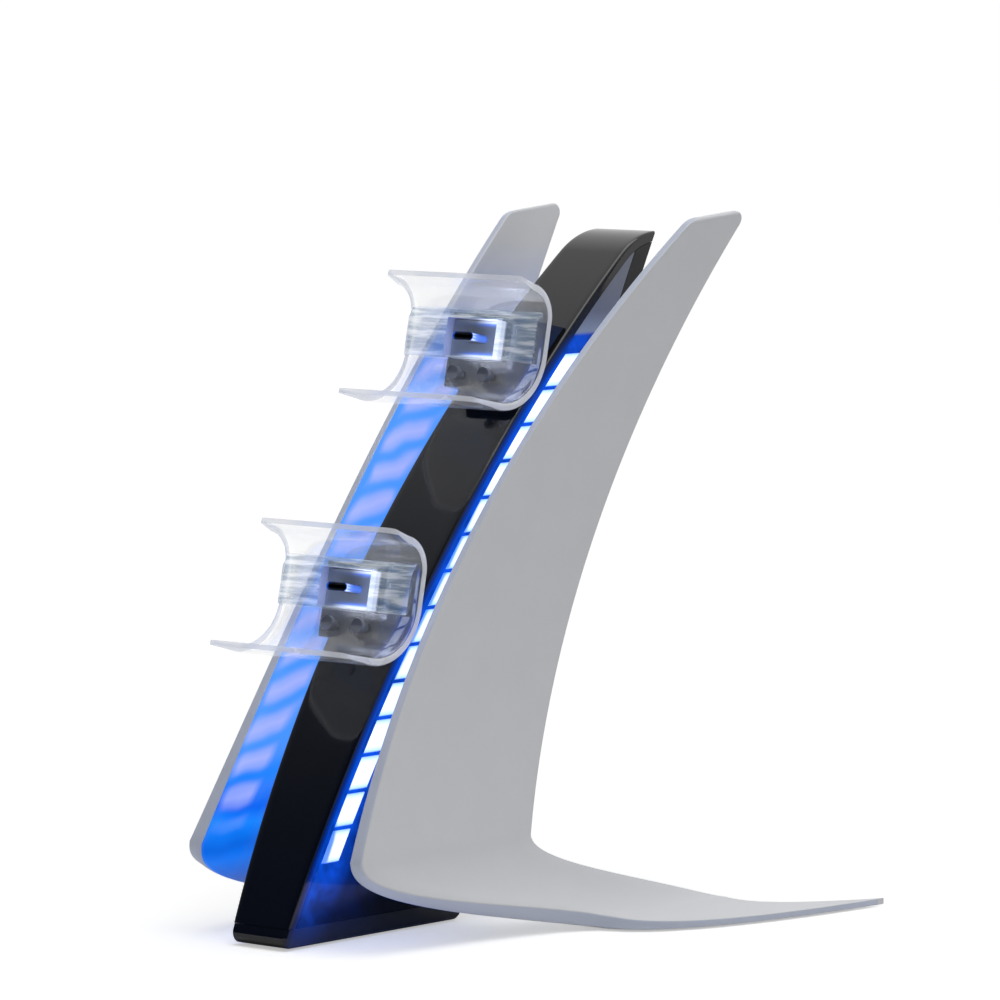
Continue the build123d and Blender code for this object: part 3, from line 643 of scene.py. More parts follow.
@dataclass(frozen=True)
class WhiteWithPaintedGlow(LitDiffuser):
    """Satin white ABS with a painted glow that stands in for the light of the bars: azure, with a paler
    painted pool facing each lamp.
    """

    slant: float = -0.22
    waver: float = 5.0
    waver_pitch: float = 15.0

    def dress(self, paint: Paint) -> None:
        """Adds the painted pools of light on a base colour darkened under them, and lets them die out above
        the lamps and along the foot.

        Args:
            paint: The material in the making.
        """
        tree, height, depth = paint.tree, paint.height(), paint.depth()
        noise = add_node(tree, "TexNoise", {
            "Vector": paint.place, "Scale": 1.0 / (self.waver_pitch * MM), "Detail": 1.0})["Fac"]
        shift = add_node(tree, "Math", (noise, self.waver, -self.waver / 2.0), operation="MULTIPLY_ADD")[0]
        bent, lifted = (add_node(tree, "Math", (shift, way), operation="ADD")[0] for way in (depth, height))
        risen = add_node(tree, "Math", (depth, self.slant, lifted), operation="MULTIPLY_ADD")[0]
        pool = paint.ramp(self.lamp_phase(paint, risen), (0.1, "#000000"), (1.0, "#484848"),
                          (3.0, "#D8D8D8"), (5.2, "#FFFFFF"))
        band = paint.ramp(bent, (-4.0, "#000000"), (-1.6, "#FFFFFF"), (9.0, "#FFFFFF"), (12.0, "#505050"),
                          (30.0, "#000000"))
        low = paint.ramp(lifted, (30.0, "#000000"), (44.0, "#FFFFFF"))
        azure = paint.ramp(lifted, (4.0, "#0450A0"), (14.0, "#035CD0"), (22.0, "#0476F4"),
                           (26.0, "#0364E0"), (33.0, "#0884FF"), (38.0, "#0464F0"), (46.0, "#1480FF"),
                           (58.0, "#4694FF"), (160.0, "#4A96FF"), (178.0, "#5C88E8"))
        # Painted light: azure with paler pools, on the wing's inner face.
        lit = paint.mixed("MIX", azure, linear("#A4B2FF"), paint.product(pool, band, low))
        painted_glow_share = paint.product(
            paint.ramp(height, (172.0, "#FFFFFF"), (182.0, "#909090"), (204.0, "#000000")),
            paint.ramp(depth, (14.0, "#FFFFFF"), (60.0, "#202020")),
            paint.ramp(paint.off_middle(), (30.0, "#FFFFFF"), (44.0, "#000000")))
        # Base colour darkened to navy under the painted glow.
        self.tone(paint, paint.mixed("MIX", linear(self.colour), linear("#0A1830"), painted_glow_share))
        self.raise_grain(paint)
        self.light_up(paint, paint.product(lit, painted_glow_share), self.glow)


@dataclass(frozen=True)
class CarrierWithPaintedGlow(Finish):
    """Translucent ABS carrier: greyish face, with a painted blue-white glow round its border that stands in
    for light leaking out.
    """

    anchor: tuple[float, float] = (0.0, 0.0)
    tilt: float = 12.0
    half: tuple[float, float] = (9.75, 5.75)
    face: float = 1.8
    downward: float = 0.55
    glow: float = 1.0

    def dress(self, paint: Paint) -> None:
        """Adds the painted glow round the border, brightest to the right and below.

        Args:
            paint: The material in the making.
        """
        super().dress(paint)
        tree, tilt = paint.tree, math.radians(self.tilt)
        sine, cosine = math.sin(tilt) / MM, math.cos(tilt) / MM
        spoke = add_node(tree, "VectorMath", (paint.place, (0.0, self.anchor[0] * MM, self.anchor[1] * MM)),
                         operation="SUBTRACT")[0]
        right, up, ahead = (
            add_node(tree, "VectorMath", (spoke, axis), operation="DOT_PRODUCT")["Value"]
            for axis in ((1.0 / MM, 0.0, 0.0), (0.0, sine, cosine), (0.0, -cosine, sine)))
        past = []
        for value, half in zip((right, up), self.half):
            size = add_node(tree, "Math", (value,), operation="ABSOLUTE")[0]
            past.append(add_node(tree, "Math", (size, half), operation="SUBTRACT")[0])
        border = add_node(tree, "Math", past, operation="MAXIMUM")[0]
        line = paint.ramp(border, (-2.2, "#000000"), (-1.6, "#08308C"), (-1.0, "#2C6CF0"),
                          (-0.6, "#CFDCFF"), (0.1, "#E8EEFF"))
        # Painted glow made brighter to the right and below.
        weight = add_node(tree, "Math", (up, -self.downward, right), operation="MULTIPLY_ADD")[0]
        gain = paint.ramp(weight, (-12.0, "#202020"), (-4.0, "#585858"), (3.0, "#FFFFFF"),
                          (14.0, "#FFFFFF"))
        front = paint.ramp(ahead, (self.face - 1.2, "#000000"), (self.face - 0.9, "#FFFFFF"))
        self.light_up(paint, paint.product(line, gain, front), self.glow)


@dataclass(frozen=True)
class ShellWithPaintedBlue(Finish):
    """Nickel-plated drawn steel with a painted blue glow on its flanks that stands in for the blue light
    that the cradle carries.
    """

    glow: float = 0.9

    def dress(self, paint: Paint) -> None:
        """Adds the painted blue glow on the two flanks.

        Args:
            paint: The material in the making.
        """
        super().dress(paint)
        blue = paint.ramp(paint.off_middle(), (3.0, "#000000"), (3.8, "#0450C8"), (4.2, "#0A64E6"))
        self.light_up(paint, blue, self.glow)


@dataclass(frozen=True)
class ClearMoulding(Finish):
    """Clear polycarbonate: see-through, with milk in its thickness, partly a real haze and partly a painted
    faint glow, and ripples from the mould.
    """

    clear: float = 0.93
    body: float = 0.3
    glow: float = 0.0
    ripple: float = 0.0
    ripple_pitch: float = 1.6
    ripple_stretch: float = 0.12

    def dress(self, paint: Paint) -> None:
        """Adds the see-through body, a painted faint glow, and the ripples that run across it.

        Args:
            paint: The material in the making.
        """
        super().dress(paint)
        feed(paint.shader, {"Transmission Weight": self.clear, "Alpha": self.body})
        # Painted faint glow in the plastic.
        self.light_up(paint, linear("#E4ECFF"), self.glow)
        if not self.ripple:
            return
        scale = 1.0 / (self.ripple_pitch * MM)
        scales = (self.ripple_stretch * scale, scale, scale)
        stretched = add_node(paint.tree, "VectorMath", (paint.place, scales), operation="MULTIPLY")[0]
        wave = add_node(paint.tree, "TexNoise", {"Vector": stretched, "Scale": 1.0, "Detail": 2.0})["Fac"]
        ripple_tone_and_glow = paint.ramp(wave, (0.34, "#6880A0"), (0.48, "#A4B4C4"), (0.64, "#ECF2F8"))
        bump = add_node(paint.tree, "Bump", {
            "Height": wave, "Strength": 1.0, "Distance": self.ripple * MM})["Normal"]
        # Ripple tones go to the colour and, as painted light, to the glow.
        feed(paint.shader, {"Base Color": ripple_tone_and_glow, "Emission Color": ripple_tone_and_glow, "Normal": bump})


class Finishes:
    """All the finishes of the dock."""

    # Polished black with a painted blue glow on its lips, on the front cover and on the base tray's sides.
    FRONT = PolishedBlackPaintedGlow("polished_black_abs_painted_blue_glow", "#0A0B0E", 0.09, ior=1.53, grain=3.0, relief=0.003)
    GLOSS = Finish("polished_black_bracket_abs", "#0A0B0E", 0.12, ior=1.53, grain=3.0, relief=0.003)
    MATT = Finish("matt_black_abs", "#141416", 0.45, grain=0.5, relief=0.03)
    # Smoked acrylic with a painted blue glow beside the bars and a painted grey glow above.
    SMOKED = SmokedPanel("smoked_acrylic_painted_glow", "#05070C", 0.08, ior=1.49, grain=4.0, relief=0.004)
    DIFFUSER = LitDiffuser("milky_acrylic_diffuser", "#C8D6FF", 0.3, ior=1.49)
    WHITE = Finish("satin_white_abs", "#E4E6EA", 0.38, ior=1.52, grain=0.7, relief=0.02, wander=0.012)
    # White with a painted blue tint, standing in for the bars' light on the wings' front edges.
    BLUE_TINTED_EDGE = Finish("satin_white_abs_edge_painted_blue_tint", "#D2D9EC", 0.38, ior=1.52, grain=0.7, relief=0.02,
                  wander=0.012)
    # White with a painted blue glow, for the wings' inner faces.
    PAINTED_GLOW_WHITE = WhiteWithPaintedGlow("satin_white_abs_painted_blue_glow", "#E4E6EA", 0.38, ior=1.52, grain=0.7, relief=0.02,
                         wander=0.012, glow=1.0)
    # Clear finishes with a painted faint glow, strongest on the rest.
    CLEAR = ClearMoulding("clear_polycarbonate", "#FCFCFC", 0.1, ior=1.585, grain=5.0, relief=0.02,
                          wander=0.005, body=0.24, glow=0.06)
    RIM = ClearMoulding("satin_polycarbonate_rim", "#FAFBFF", 0.25, ior=1.585, grain=2.0, relief=0.02,
                        wander=0.01, clear=0.2, body=0.7, glow=0.2)
    REST = ClearMoulding("rippled_polycarbonate_rest", "#F8F8F4", 0.12, ior=1.585, wander=0.01, clear=0.4,
                         body=0.62, glow=0.36, ripple=0.3)
    # Carriers and socket walls with a painted blue-white glow round the plug.
    CARRIER = {level: CarrierWithPaintedGlow(f"pale_translucent_abs_{level.value}", "#8C97A8", 0.35, grain=0.5,
                                 anchor=level.anchor) for level in Level}
    SOCKET_WALL = {level: CarrierWithPaintedGlow(f"lit_socket_wall_{level.value}", "#C8D6FF", 0.3, ior=1.585, grain=2.0,
                                     anchor=level.anchor, glow=1.2) for level in Level}
    NICKEL = Finish("nickel_plated_steel", "#C9CACC", 0.22, metallic=1.0, grain=0.25, relief=0.004)
    # Nickel with a painted blue glow on the plug shell's flanks.
    SHELL = ShellWithPaintedBlue("nickel_plated_steel_painted_blue_flanks", "#C9CACC", 0.22, metallic=1.0, grain=0.25,
                     relief=0.004)
    CONTACT = Finish("black_contact_moulding", "#0C0C0D", 0.4, grain=0.3)
    SCREW = Finish("zinc_plated_steel", "#A4A6AA", 0.45, metallic=1.0, grain=0.3, relief=0.006)
    LENS = Finish("dark_clear_lens", "#060608", 0.05, ior=1.49, grain=3.0, relief=0.002)
    BOARD = Finish("green_solder_mask", "#0E2A18", 0.35, grain=0.4)
    BALLAST = Finish("plain_rolled_steel", "#6A6B6E", 0.4, metallic=1.0, grain=0.5)
    RUBBER = Finish("matt_rubber", "#161616", 0.8, grain=0.4, relief=0.05)


# Sub-assemblies

@dataclass
class Column:
    """Black front cover with its rolled cap, smoked sides, light bars and back."""

    wall: float = 2.4
    lip: float = 3.0
    edge_round: float = 0.9
    inner_round: float = 0.4
    rows: tuple[int, int] = (60, 24)
    face_points: int = 15
    lip_points: int = 5

    def front_cover(self) -> Surface:
        """U-shaped shell: a profile of two lips and a face carried up the front and over the cap.

        Each profile point has a depth inside the skin, an inset from the column's side and a share
        of the width, so x = share * (half width - inset).

        Returns:
            The closed shell.
        """
        stations = np.concatenate([np.linspace(k, k + 1, n, endpoint=False)
                                   for k, n in enumerate(self.rows)] + [[2.0]])[:, None]
        face = np.linspace(1.0, -1.0, self.face_points)[1:-1]

        def profile(inset: float, radius: float, depth: float) -> tuple[Array, Array, Array]:
            """Half the loop, mirrored: inset, depth and share of width for every point."""
            corner_in = inset + radius * (1.0 - np.cos(CORNER))
            corner_deep = depth + radius * (1.0 - np.sin(CORNER))
            straight = np.linspace(self.lip, depth + radius, self.lip_points)[:-1]
            sides_in = np.concatenate([np.full(len(straight), inset), corner_in])
            sides_deep = np.concatenate([straight, corner_deep])
            middle_in = np.full(len(face), inset + radius)
            middle_deep = np.full(len(face), depth)
            ones = np.ones(len(sides_in))
            return (np.concatenate([sides_in, middle_in, sides_in[::-1]]),
                    np.concatenate([sides_deep, middle_deep, sides_deep[::-1]]),
                    np.concatenate([ones, face, -ones]))

        def skin(inset: float, radius: float, depth: float) -> Array:
            """One grid of points from its profile."""
            inward, deep, share = profile(inset, radius, depth)
            y, z = COLUMN.front_point(stations, deep[None, :])
            x = share * (COLUMN.half_width(z) - inward)
            return np.stack(np.broadcast_arrays(x, y, z), -1)

        return thick_sheet(skin(0.0, self.edge_round, 0.0), skin(self.wall, self.inner_round, self.wall))

    def build(self) -> None:
        """Builds the front cover and dresses the rest of the column."""
        self.front_cover().build("front_cover_shell", (Finishes.FRONT,), ("front_cover",), "piano_black")
        dress(Finishes.MATT, "rear_cover", "chassis")
        for side in Side:
            name = side.name.lower()
            # Smoked panels take a painted glow; the light bars are the lamps.
            dress(Finishes.SMOKED, f"{name}_side_panel")
            dress(Finishes.DIFFUSER, f"{name}_light_bar")
            dress(Finishes.BOARD, f"{name}_led_board")
        dress(Finishes.LENS, "indicator_lens")
        dress(Finishes.BOARD, "main_board")
        dress(Finishes.NICKEL, "power_inlet")
        dress(Finishes.CONTACT, "inlet_tongue")


@dataclass
class Base:
    """Base tray with its ballast, pad and screws."""

    def build(self) -> None:
        """Dresses the base's pieces."""
        # The base tray takes the painted blue glow on its sides.
        dress(Finishes.FRONT, "base_tray")
        dress(Finishes.BALLAST, "ballast")
        dress(Finishes.RUBBER, "base_pad", "foot_pads")
        dress(Finishes.SCREW, "base_screws", "wing_screws")


@dataclass
class Wing:
    """White wing in one with its swept foot and its three fixing posts."""

    front: Arc = Arc(-46.8, 544.0, 23.3)
    back: Arc = Arc(35.5, 632.0, 15.9)
    top: float = 215.0
    top_tilt: float = 4.5
    front_corner: float = 12.0
    back_corner: float = 2.5
    crown_depth: float = 6.0
    pinch_height: float = 98.5
    pinch_x: float = 25.5
    bow: float = 633.0
    thickness_top: float = 2.6
    thickness_bend: float = 5.7
    bend_height: float = 28.0
    foot_lift: float = 0.6
    front_sweep: tuple[float, float] = (0.93, 0.18)
    back_sweep: tuple[float, float] = (0.75, 0.32)
    foot_root: tuple[float, float] = (53.0, 106.6)
    foot_shoulder: tuple[float, float] = (80.0, 80.0)
    foot_back: tuple[float, float] = (74.5, 119.4)
    foot_tip: tuple[float, float] = (91.5, 145.0)
    tip_chord: float = 3.0
    root_thickness: float = 4.0
    tip_thickness: float = 1.9
    edge_share: float = 0.2
    edge_cap: float = 0.3
    lit_edge_share: float = 0.36
    lit_edge_cap: float = 0.2
    top_round: float = 0.9
    post_radius: float = 3.5
    post_start: float = 8.5
    posts: tuple[tuple[float, float], ...] = ((22.0, 45.0), (52.0, 105.0), (88.0, 156.0))
    crown_rows: int = 26
    flank_rows: int = 60
    bend_rows: int = 41
    foot_rows: int = 41
    face_points: int = 10
    edge_quads: tuple[int, int] = (18, 25)
    # Faces that take the painted blue glow.
    painted_glow_quads: tuple[int, int] = (25, 37)

    def inner_x(self, height: Any) -> Any:
        """Inner face: an arc that comes nearest to the column at the pinch."""
        return self.pinch_x + self.bow - np.sqrt(self.bow ** 2 - (height - self.pinch_height) ** 2)

    def thickness(self, height: Any) -> Any:
        """Thickness, which grows with the fourth power of the way down to the bend."""
        share = (self.top - height) / (self.top - self.bend_height)
        return blend(self.thickness_top, self.thickness_bend, share ** 4)

    def crown(self, drop: Array) -> list[Array]:
        """Ends of lines that lie below the tilted top, where they meet the two edge arcs.

        A line at pivot - drop * n along d meets an arc's circle at s = -b - sqrt(b^2 - q), with b and
        q from the line's start. A corner of radius r touches the top at r / tan(half its angle), so
        its circle has its centre there, r below the top.

        Args:
            drop: Distances below the top, square to it.
        Returns:
            Front points and back points, as Y and Z.
        """
        tilt = math.radians(self.top_tilt)
        d, n = np.array([math.cos(tilt), math.sin(tilt)]), np.array([-math.sin(tilt), math.cos(tilt)])
        pivot = np.array([self.back.y(self.top), self.top])
        start = pivot - drop[:, None] * n
        found = []
        for arc, radius, sign in ((self.front, self.front_corner, 1.0),
                                  (self.back, self.back_corner, -1.0)):
            spoke = start - np.array(arc.centre)
            b, q = spoke @ d, (spoke ** 2).sum(1) - arc.radius ** 2
            run = -b - np.sqrt(b ** 2 - q)
            lean = math.atan(arc.slope(pivot[1] + run[0] * d[1])) + tilt
            reach = radius / math.tan((RIGHT_ANGLE + sign * lean) / 2.0)
            drawn_in = reach - np.sqrt(np.maximum(radius ** 2 - (radius - drop) ** 2, 0.0))
            run = np.where(drop < reach * math.cos(lean), run[0] + sign * drawn_in, run)
            found.append(start + run[:, None] * d)
        return found

    def path(self) -> tuple[Array, Array, Array, Array]:
        """Sections down the flank, round the bend and out along the foot.

        The flank follows the two edge arcs from the tilted crown down. The bend is a quarter turn in
        the front view during which the edges sweep back. The foot's edges are parabolas through
        three points each.

        Returns:
            Front points, back points, directions along the wing and thicknesses.
        """
        drop = self.crown_depth * (1.0 - np.cos(np.linspace(0.0, RIGHT_ANGLE, self.crown_rows)))
        share = np.linspace(0.0, 1.0, self.flank_rows)[1:]
        ends, heights = [], []
        for arc, crown in zip((self.front, self.back), self.crown(drop)):
            height = blend(crown[-1, 1], self.bend_height, share)
            flat = np.concatenate([crown, np.stack([arc.y(height), height], -1)])
            x = self.inner_x(flat[:, 1]) + self.thickness(flat[:, 1]) / 2.0
            ends.append([np.column_stack([x, flat])])
            heights.append(flat[:, 1])
        fronts, backs = ends
        middle = (heights[0] + heights[1]) / 2.0
        slope = (self.pinch_height - middle) / self.bow
        round_off = np.clip(1.0 - drop / self.top_round, 0.0, 1.0)
        squeeze = np.ones_like(middle)
        taken = self.top_round / (self.thickness_top / 2.0)
        squeeze[:len(drop)] -= taken * (1.0 - np.sqrt(1.0 - round_off ** 2))
        alongs = [np.stack([slope, np.zeros_like(slope), -np.ones_like(slope)], -1)]
        thicks = [self.thickness(middle) * squeeze]

        share = np.linspace(0.0, 1.0, self.bend_rows)[1:]
        start = math.asin((self.pinch_height - self.bend_height) / self.bow)
        radius = (self.bend_height - self.foot_lift - self.root_thickness / 2.0) / (1.0 - math.sin(start))
        bend_x = self.inner_x(self.bend_height) + self.thickness_bend / 2.0 + radius * math.cos(start)
        bend_z = self.bend_height + radius * math.sin(start)
        angle = blend(start, RIGHT_ANGLE, share)
        x = bend_x - radius * np.cos(angle)
        z = bend_z - radius * np.sin(angle)
        for row, arc, root, sweep in ((fronts, self.front, self.foot_root[0], self.front_sweep),
                                      (backs, self.back, self.foot_root[1], self.back_sweep)):
            row.append(np.stack([x, blend(arc.y(self.bend_height), root, swept(share, *sweep)), z], -1))
        alongs.append(np.stack([np.sin(angle), np.zeros_like(angle), -np.cos(angle)], -1))
        thicks.append(blend(self.thickness_bend, self.root_thickness, share ** 3))

        share = np.linspace(0.0, 1.0, self.foot_rows)[1:, None]
        weights = ((1 - share) * (1 - 2 * share), 4 * share * (1 - share), share * (2 * share - 1))
        thick = blend(self.tip_thickness, self.root_thickness, (1.0 - share) ** 3)
        ends = []
        for root, middle, sign in ((self.foot_root[0], self.foot_shoulder, -0.5),
                                   (self.foot_root[1], self.foot_back, 0.5)):
            tip = (self.foot_tip[0], self.foot_tip[1] + sign * self.tip_chord)
            flat = sum(w * np.array(p) for w, p in zip(weights, ((bend_x, root), middle, tip)))
            ends.append(np.concatenate([flat, self.foot_lift + thick / 2.0], -1))
        chord = ends[1] - ends[0]
        fronts.append(ends[0])
        backs.append(ends[1])
        alongs.append(np.stack([chord[:, 1], -chord[:, 0], np.zeros(len(chord))], -1))
        thicks.append(thick[:, 0])
        return tuple(np.concatenate(rows) for rows in (fronts, backs, alongs, thicks))

    def blade(self) -> Surface:
        """Rectangles carried along the path, their corners rounded in step with their thickness.

        Returns:
            The closed blade of the right wing, with finish 1, a painted blue glow, on its inner face and 2,
            a painted blue tint, on its front edge.
        """
        front, back, along, thick = self.path()
        chord = back - front
        length = np.linalg.norm(chord, axis=1, keepdims=True)
        a_dir = chord / length
        b_dir = np.cross(along, a_dir)
        b_dir /= np.linalg.norm(b_dir, axis=1, keepdims=True)
        half = thick[:, None] / 2.0
        radius = np.minimum(thick[:, None] * self.edge_share, length * self.edge_cap)
        cosine, sine = np.cos(CORNER)[None, :], np.sin(CORNER)[None, :]
        run = np.linspace(1.0, -1.0, self.face_points)[None, 1:-1]
        reach = length / 2.0 - radius
        rise = half - radius
        lit = np.minimum(thick[:, None] * self.lit_edge_share, length * self.lit_edge_cap)
        corner = [(reach + radius * cosine, rise + radius * sine),
                  (-reach - radius * sine, rise + radius * cosine),
                  (lit * (1.0 - cosine) - length / 2.0, lit * (1.0 - sine) - half),
                  (reach + radius * sine, -rise - radius * cosine)]
        flat = np.ones_like(run)
        a, b = (np.concatenate([corner[0][k], run_k, corner[1][k], corner[2][k], -run_k, corner[3][k]], 1)
                for k, run_k in enumerate((reach * run, half * flat)))
        middle = (front + back) / 2.0
        rings = middle[:, None] + a[..., None] * a_dir[:, None] + b[..., None] * b_dir[:, None]
        surface = ring_loft(rings)
        around = rings.shape[1]
        quads = np.arange(around * (len(rings) - 1)).reshape(-1, around)
        surface.finishes[quads[:, slice(*self.painted_glow_quads)]] = 1
        surface.finishes[quads[:, slice(*self.edge_quads)]] = 2
        return surface

    def build(self, side: Side) -> None:
        """Builds one wing with its posts.

        Args:
            side: The side it stands on.
        """
        surface = self.blade()
        for y, z in self.posts:
            end = float(self.inner_x(z) + self.thickness(z) / 2.0)
            start = np.array([self.post_start, y, z])
            surface = surface.joined(round_bar(start, np.array([end, y, z]), self.post_radius))
        if side is Side.LEFT:
            surface = surface.mirrored()
        name = side.name.lower()
        # Inner face takes the painted blue glow, front edge the painted blue tint.
        surface.build(f"{name}_wing_blade", (Finishes.WHITE, Finishes.PAINTED_GLOW_WHITE, Finishes.BLUE_TINTED_EDGE),
                      (f"{name}_wing",), "white_plastic")


@dataclass
class Cradle:
    """Clear C-shaped cradle with its plug, carrier, bracket and screws."""

    level: Level
    tilt: float = 12.0
    half_length: float = 28.0
    wall: float = 2.6
    flat: tuple[float, float] = (-4.2, 6.5)
    top_radius: float = 10.5
    bottom_radius: float = 19.2
    top_lip: tuple[float, float] = (6.5, 1.2)
    bottom_lip: tuple[float, float] = (12.8, 0.8)
    tip: float = 1.6
    rest_front: float = 5.0
    rest_half_length: float = 26.0
    rest: tuple[float, float] = (-6.5, 5.5)
    rest_shoulder: tuple[float, float] = (3.2, 9.1)
    socket: tuple[float, float] = (20.0, 12.0)
    rim: float = 1.0
    rim_share: float = 0.35
    corner: float = 3.0
    lip_rows: tuple[int, int] = (10, 8)
    lower_rows: tuple[int, int] = (18, 4)
    upper_rows: tuple[int, int] = (6, 14)
    wall_rows: int = 8
    columns: tuple[int, int] = (6, 9)
    nudge: float = 0.02
    rest_gap: float = 0.05
    hair: float = 0.01

    def profile(self) -> tuple[Array, Array, Array]:
        """Side view from the lower lip's tip up the wall to the upper lip's tip.

        Two arcs with a common wall between them and a straight lip at either end; the inner line is
        the outer one less the wall's thickness, and the lips thin to their tips.

        Returns:
            Outer points, inner points and, for each row, whether the rest is on it.
        """
        low, high = self.flat
        step = math.asin((low - self.rest[0]) / (self.bottom_radius - self.wall))
        shoulder = math.asin((self.rest_shoulder[1] - high) / (self.top_radius - self.wall))
        down = np.concatenate([np.linspace(RIGHT_ANGLE, step + self.nudge, self.lower_rows[0]),
                               np.linspace(step, self.nudge, self.lower_rows[1])])
        up = np.concatenate([np.linspace(self.nudge, shoulder, self.upper_rows[0]),
                             np.linspace(shoulder + self.nudge, RIGHT_ANGLE, self.upper_rows[1])])
        half_wall = self.socket[1] / 2.0
        evenly = np.linspace(low, high, self.wall_rows)
        rows_u = np.sort(np.concatenate([evenly, [self.rest[1], half_wall]]))

        def arc(centre: tuple[float, float], radius: float, angle: Array, sign: float) -> Array:
            """Arc from straight ahead of its centre round to below or above it."""
            return np.stack([centre[0] - radius * np.cos(angle),
                             centre[1] + sign * radius * np.sin(angle)], -1)

        def line(start: Array, end: Array, count: int) -> Array:
            """Even points from start towards end, end left out."""
            return blend(start, end, np.linspace(0.0, 1.0, count, endpoint=False)[:, None])

        found = []
        for inset in (0.0, self.wall):
            tip = inset / self.wall * self.tip
            bottom_c, top_c = (self.bottom_radius, low), (self.top_radius, high)
            lower = arc(bottom_c, self.bottom_radius - inset, down, -1.0)
            upper = arc(top_c, self.top_radius - inset, up, 1.0)
            lower_tip = np.array([self.bottom_radius + self.bottom_lip[0],
                                  low - self.bottom_radius + self.bottom_lip[1] + tip])
            upper_tip = np.array([self.top_radius + self.top_lip[0],
                                  high + self.top_radius + self.top_lip[1] - tip])
            wall = np.stack([np.full(len(rows_u), inset), rows_u], -1)
            ahead = line(lower_tip, lower[0], self.lip_rows[0])
            behind = line(upper_tip, upper[-1], self.lip_rows[1])[::-1]
            found.append(np.concatenate([ahead, lower, wall, upper, behind]))
        counts = [self.lip_rows[0], *self.lower_rows, len(rows_u), *self.upper_rows, self.lip_rows[1]]
        rest = np.repeat([0, 0, 1, 1, 1, 0, 0], counts).astype(bool)
        return found[0], found[1], rest

    def body(self) -> Surface:
        """The profile carried along X, thickened by the rest and pierced by the socket.

        Towards each end of X the wall closes in on its middle as a circle of the rim's radius does,
        and the lips' tips draw back along a quarter circle of the corner's radius.

        Returns:
            The closed surface, with finish 1 on its rim, 2 on its rest's front and 3, a painted blue-white
            glow, in the socket.
        """
        outer, inner, rest = self.profile()
        rim_x = self.half_length - self.rim * (1.0 - np.sin(CORNER))
        rim_q = 1.0 - self.rim / (self.wall / 2.0) * (1.0 - np.cos(CORNER))
        window = self.socket[0] / 2.0
        across = np.concatenate([np.linspace(0.0, window, self.columns[0])[1:],
                                 np.linspace(window, self.rest_half_length, self.columns[1])[1:],
                                 [self.rest_half_length + self.rest_gap], rim_x])
        squeeze = np.concatenate([np.ones(len(across) - len(rim_q)), rim_q])
        x = np.concatenate([-across[::-1], [0.0], across])
        q = np.concatenate([squeeze[::-1], [1.0], squeeze])[None, :, None]
        on_rest = rest[:, None] & (np.abs(x) <= self.rest_half_length + self.hair)[None, :]
        slope = np.interp(inner[:, 1], [self.rest[1], self.rest_shoulder[1]],
                          [self.rest_front, self.rest_shoulder[0]])
        raised = np.where(on_rest, np.maximum(slope, inner[:, 0])[:, None], inner[:, 0][:, None])
        inner_grid = np.stack(np.broadcast_arrays(raised, inner[:, 1][:, None]), -1)
        outer_grid = np.repeat(outer[:, None], len(x), axis=1)
        past = np.maximum(np.abs(x) - self.half_length + self.corner, 0.0)
        back = (self.corner - np.sqrt(self.corner ** 2 - past ** 2))[None, :, None]
        first, last = self.lip_rows
        for end, root, rows in ((outer[0], outer[first], slice(0, first)),
                                (outer[-1], outer[-last - 1], slice(-last, None))):
            share = ((outer[rows, 0] - root[0]) / (end[0] - root[0]))[:, None, None]
            for grid in (inner_grid, outer_grid):
                grid[rows] += share * back * (root - end) / np.linalg.norm(root - end)
        middle = (inner_grid + outer_grid) / 2.0
        grids = [self.place(middle + q * (grid - middle), x) for grid in (outer_grid, inner_grid)]
        u = (outer[1:, 1] + outer[:-1, 1]) / 2.0
        mid_x = (x[1:] + x[:-1]) / 2.0
        open_cell = (np.abs(u) < self.socket[1] / 2.0)[:, None] & (np.abs(mid_x) < window)[None, :]
        surface = thick_sheet(grids[0], grids[1], ~open_cell)
        cells = np.argwhere(~open_cell)
        on_front = np.arange(len(cells)) + len(cells)
        rested = on_rest[cells[:, 0], cells[:, 1]] & on_rest[cells[:, 0] + 1, cells[:, 1] + 1]
        surface.finishes[on_front[rested]] = 2
        centre = surface.points[np.array(surface.faces)].mean(1)
        walls = np.arange(len(centre)) >= 2 * len(cells)
        surface.finishes[walls] = 1
        surface.finishes[walls & (np.abs(centre[:, 0]) < window + self.hair)
                         & (np.abs(centre[:, 2] - self.level.anchor[1]) < self.socket[1])] = 3
        surface.finishes[np.abs(centre[:, 0]) > self.half_length - self.rim * self.rim_share] = 1
        return surface

    def place(self, grid: Array, x: Array) -> Array:
        """Puts side-view points at their places along X in the dock's frame.

        Args:
            grid: Forward and upward distances from the anchor.
            x: Places along X.
        Returns:
            Points in the frame.
        """
        tilt = math.radians(self.tilt)
        forward, up = grid[..., 0], grid[..., 1]
        y = self.level.anchor[0] - forward * math.cos(tilt) + up * math.sin(tilt)
        z = self.level.anchor[1] + forward * math.sin(tilt) + up * math.cos(tilt)
        return np.stack([np.broadcast_to(x, y.shape), y, z], -1)

    def build(self) -> None:
        """Builds the clear body and dresses what it carries."""
        name = self.level.value
        # The clear finishes carry a faint painted glow, the socket walls a painted blue-white glow.
        finishes = (Finishes.CLEAR, Finishes.RIM, Finishes.REST, Finishes.SOCKET_WALL[self.level])
        self.body().build(f"{name}_cradle_body", finishes, (f"{name}_cradle",), "clear_plastic")
        dress(Finishes.GLOSS, f"{name}_bracket")
        dress(Finishes.CARRIER[self.level], f"{name}_plug_body")
        dress(Finishes.SHELL, f"{name}_plug_shell")
        dress(Finishes.CONTACT, f"{name}_plug_core")


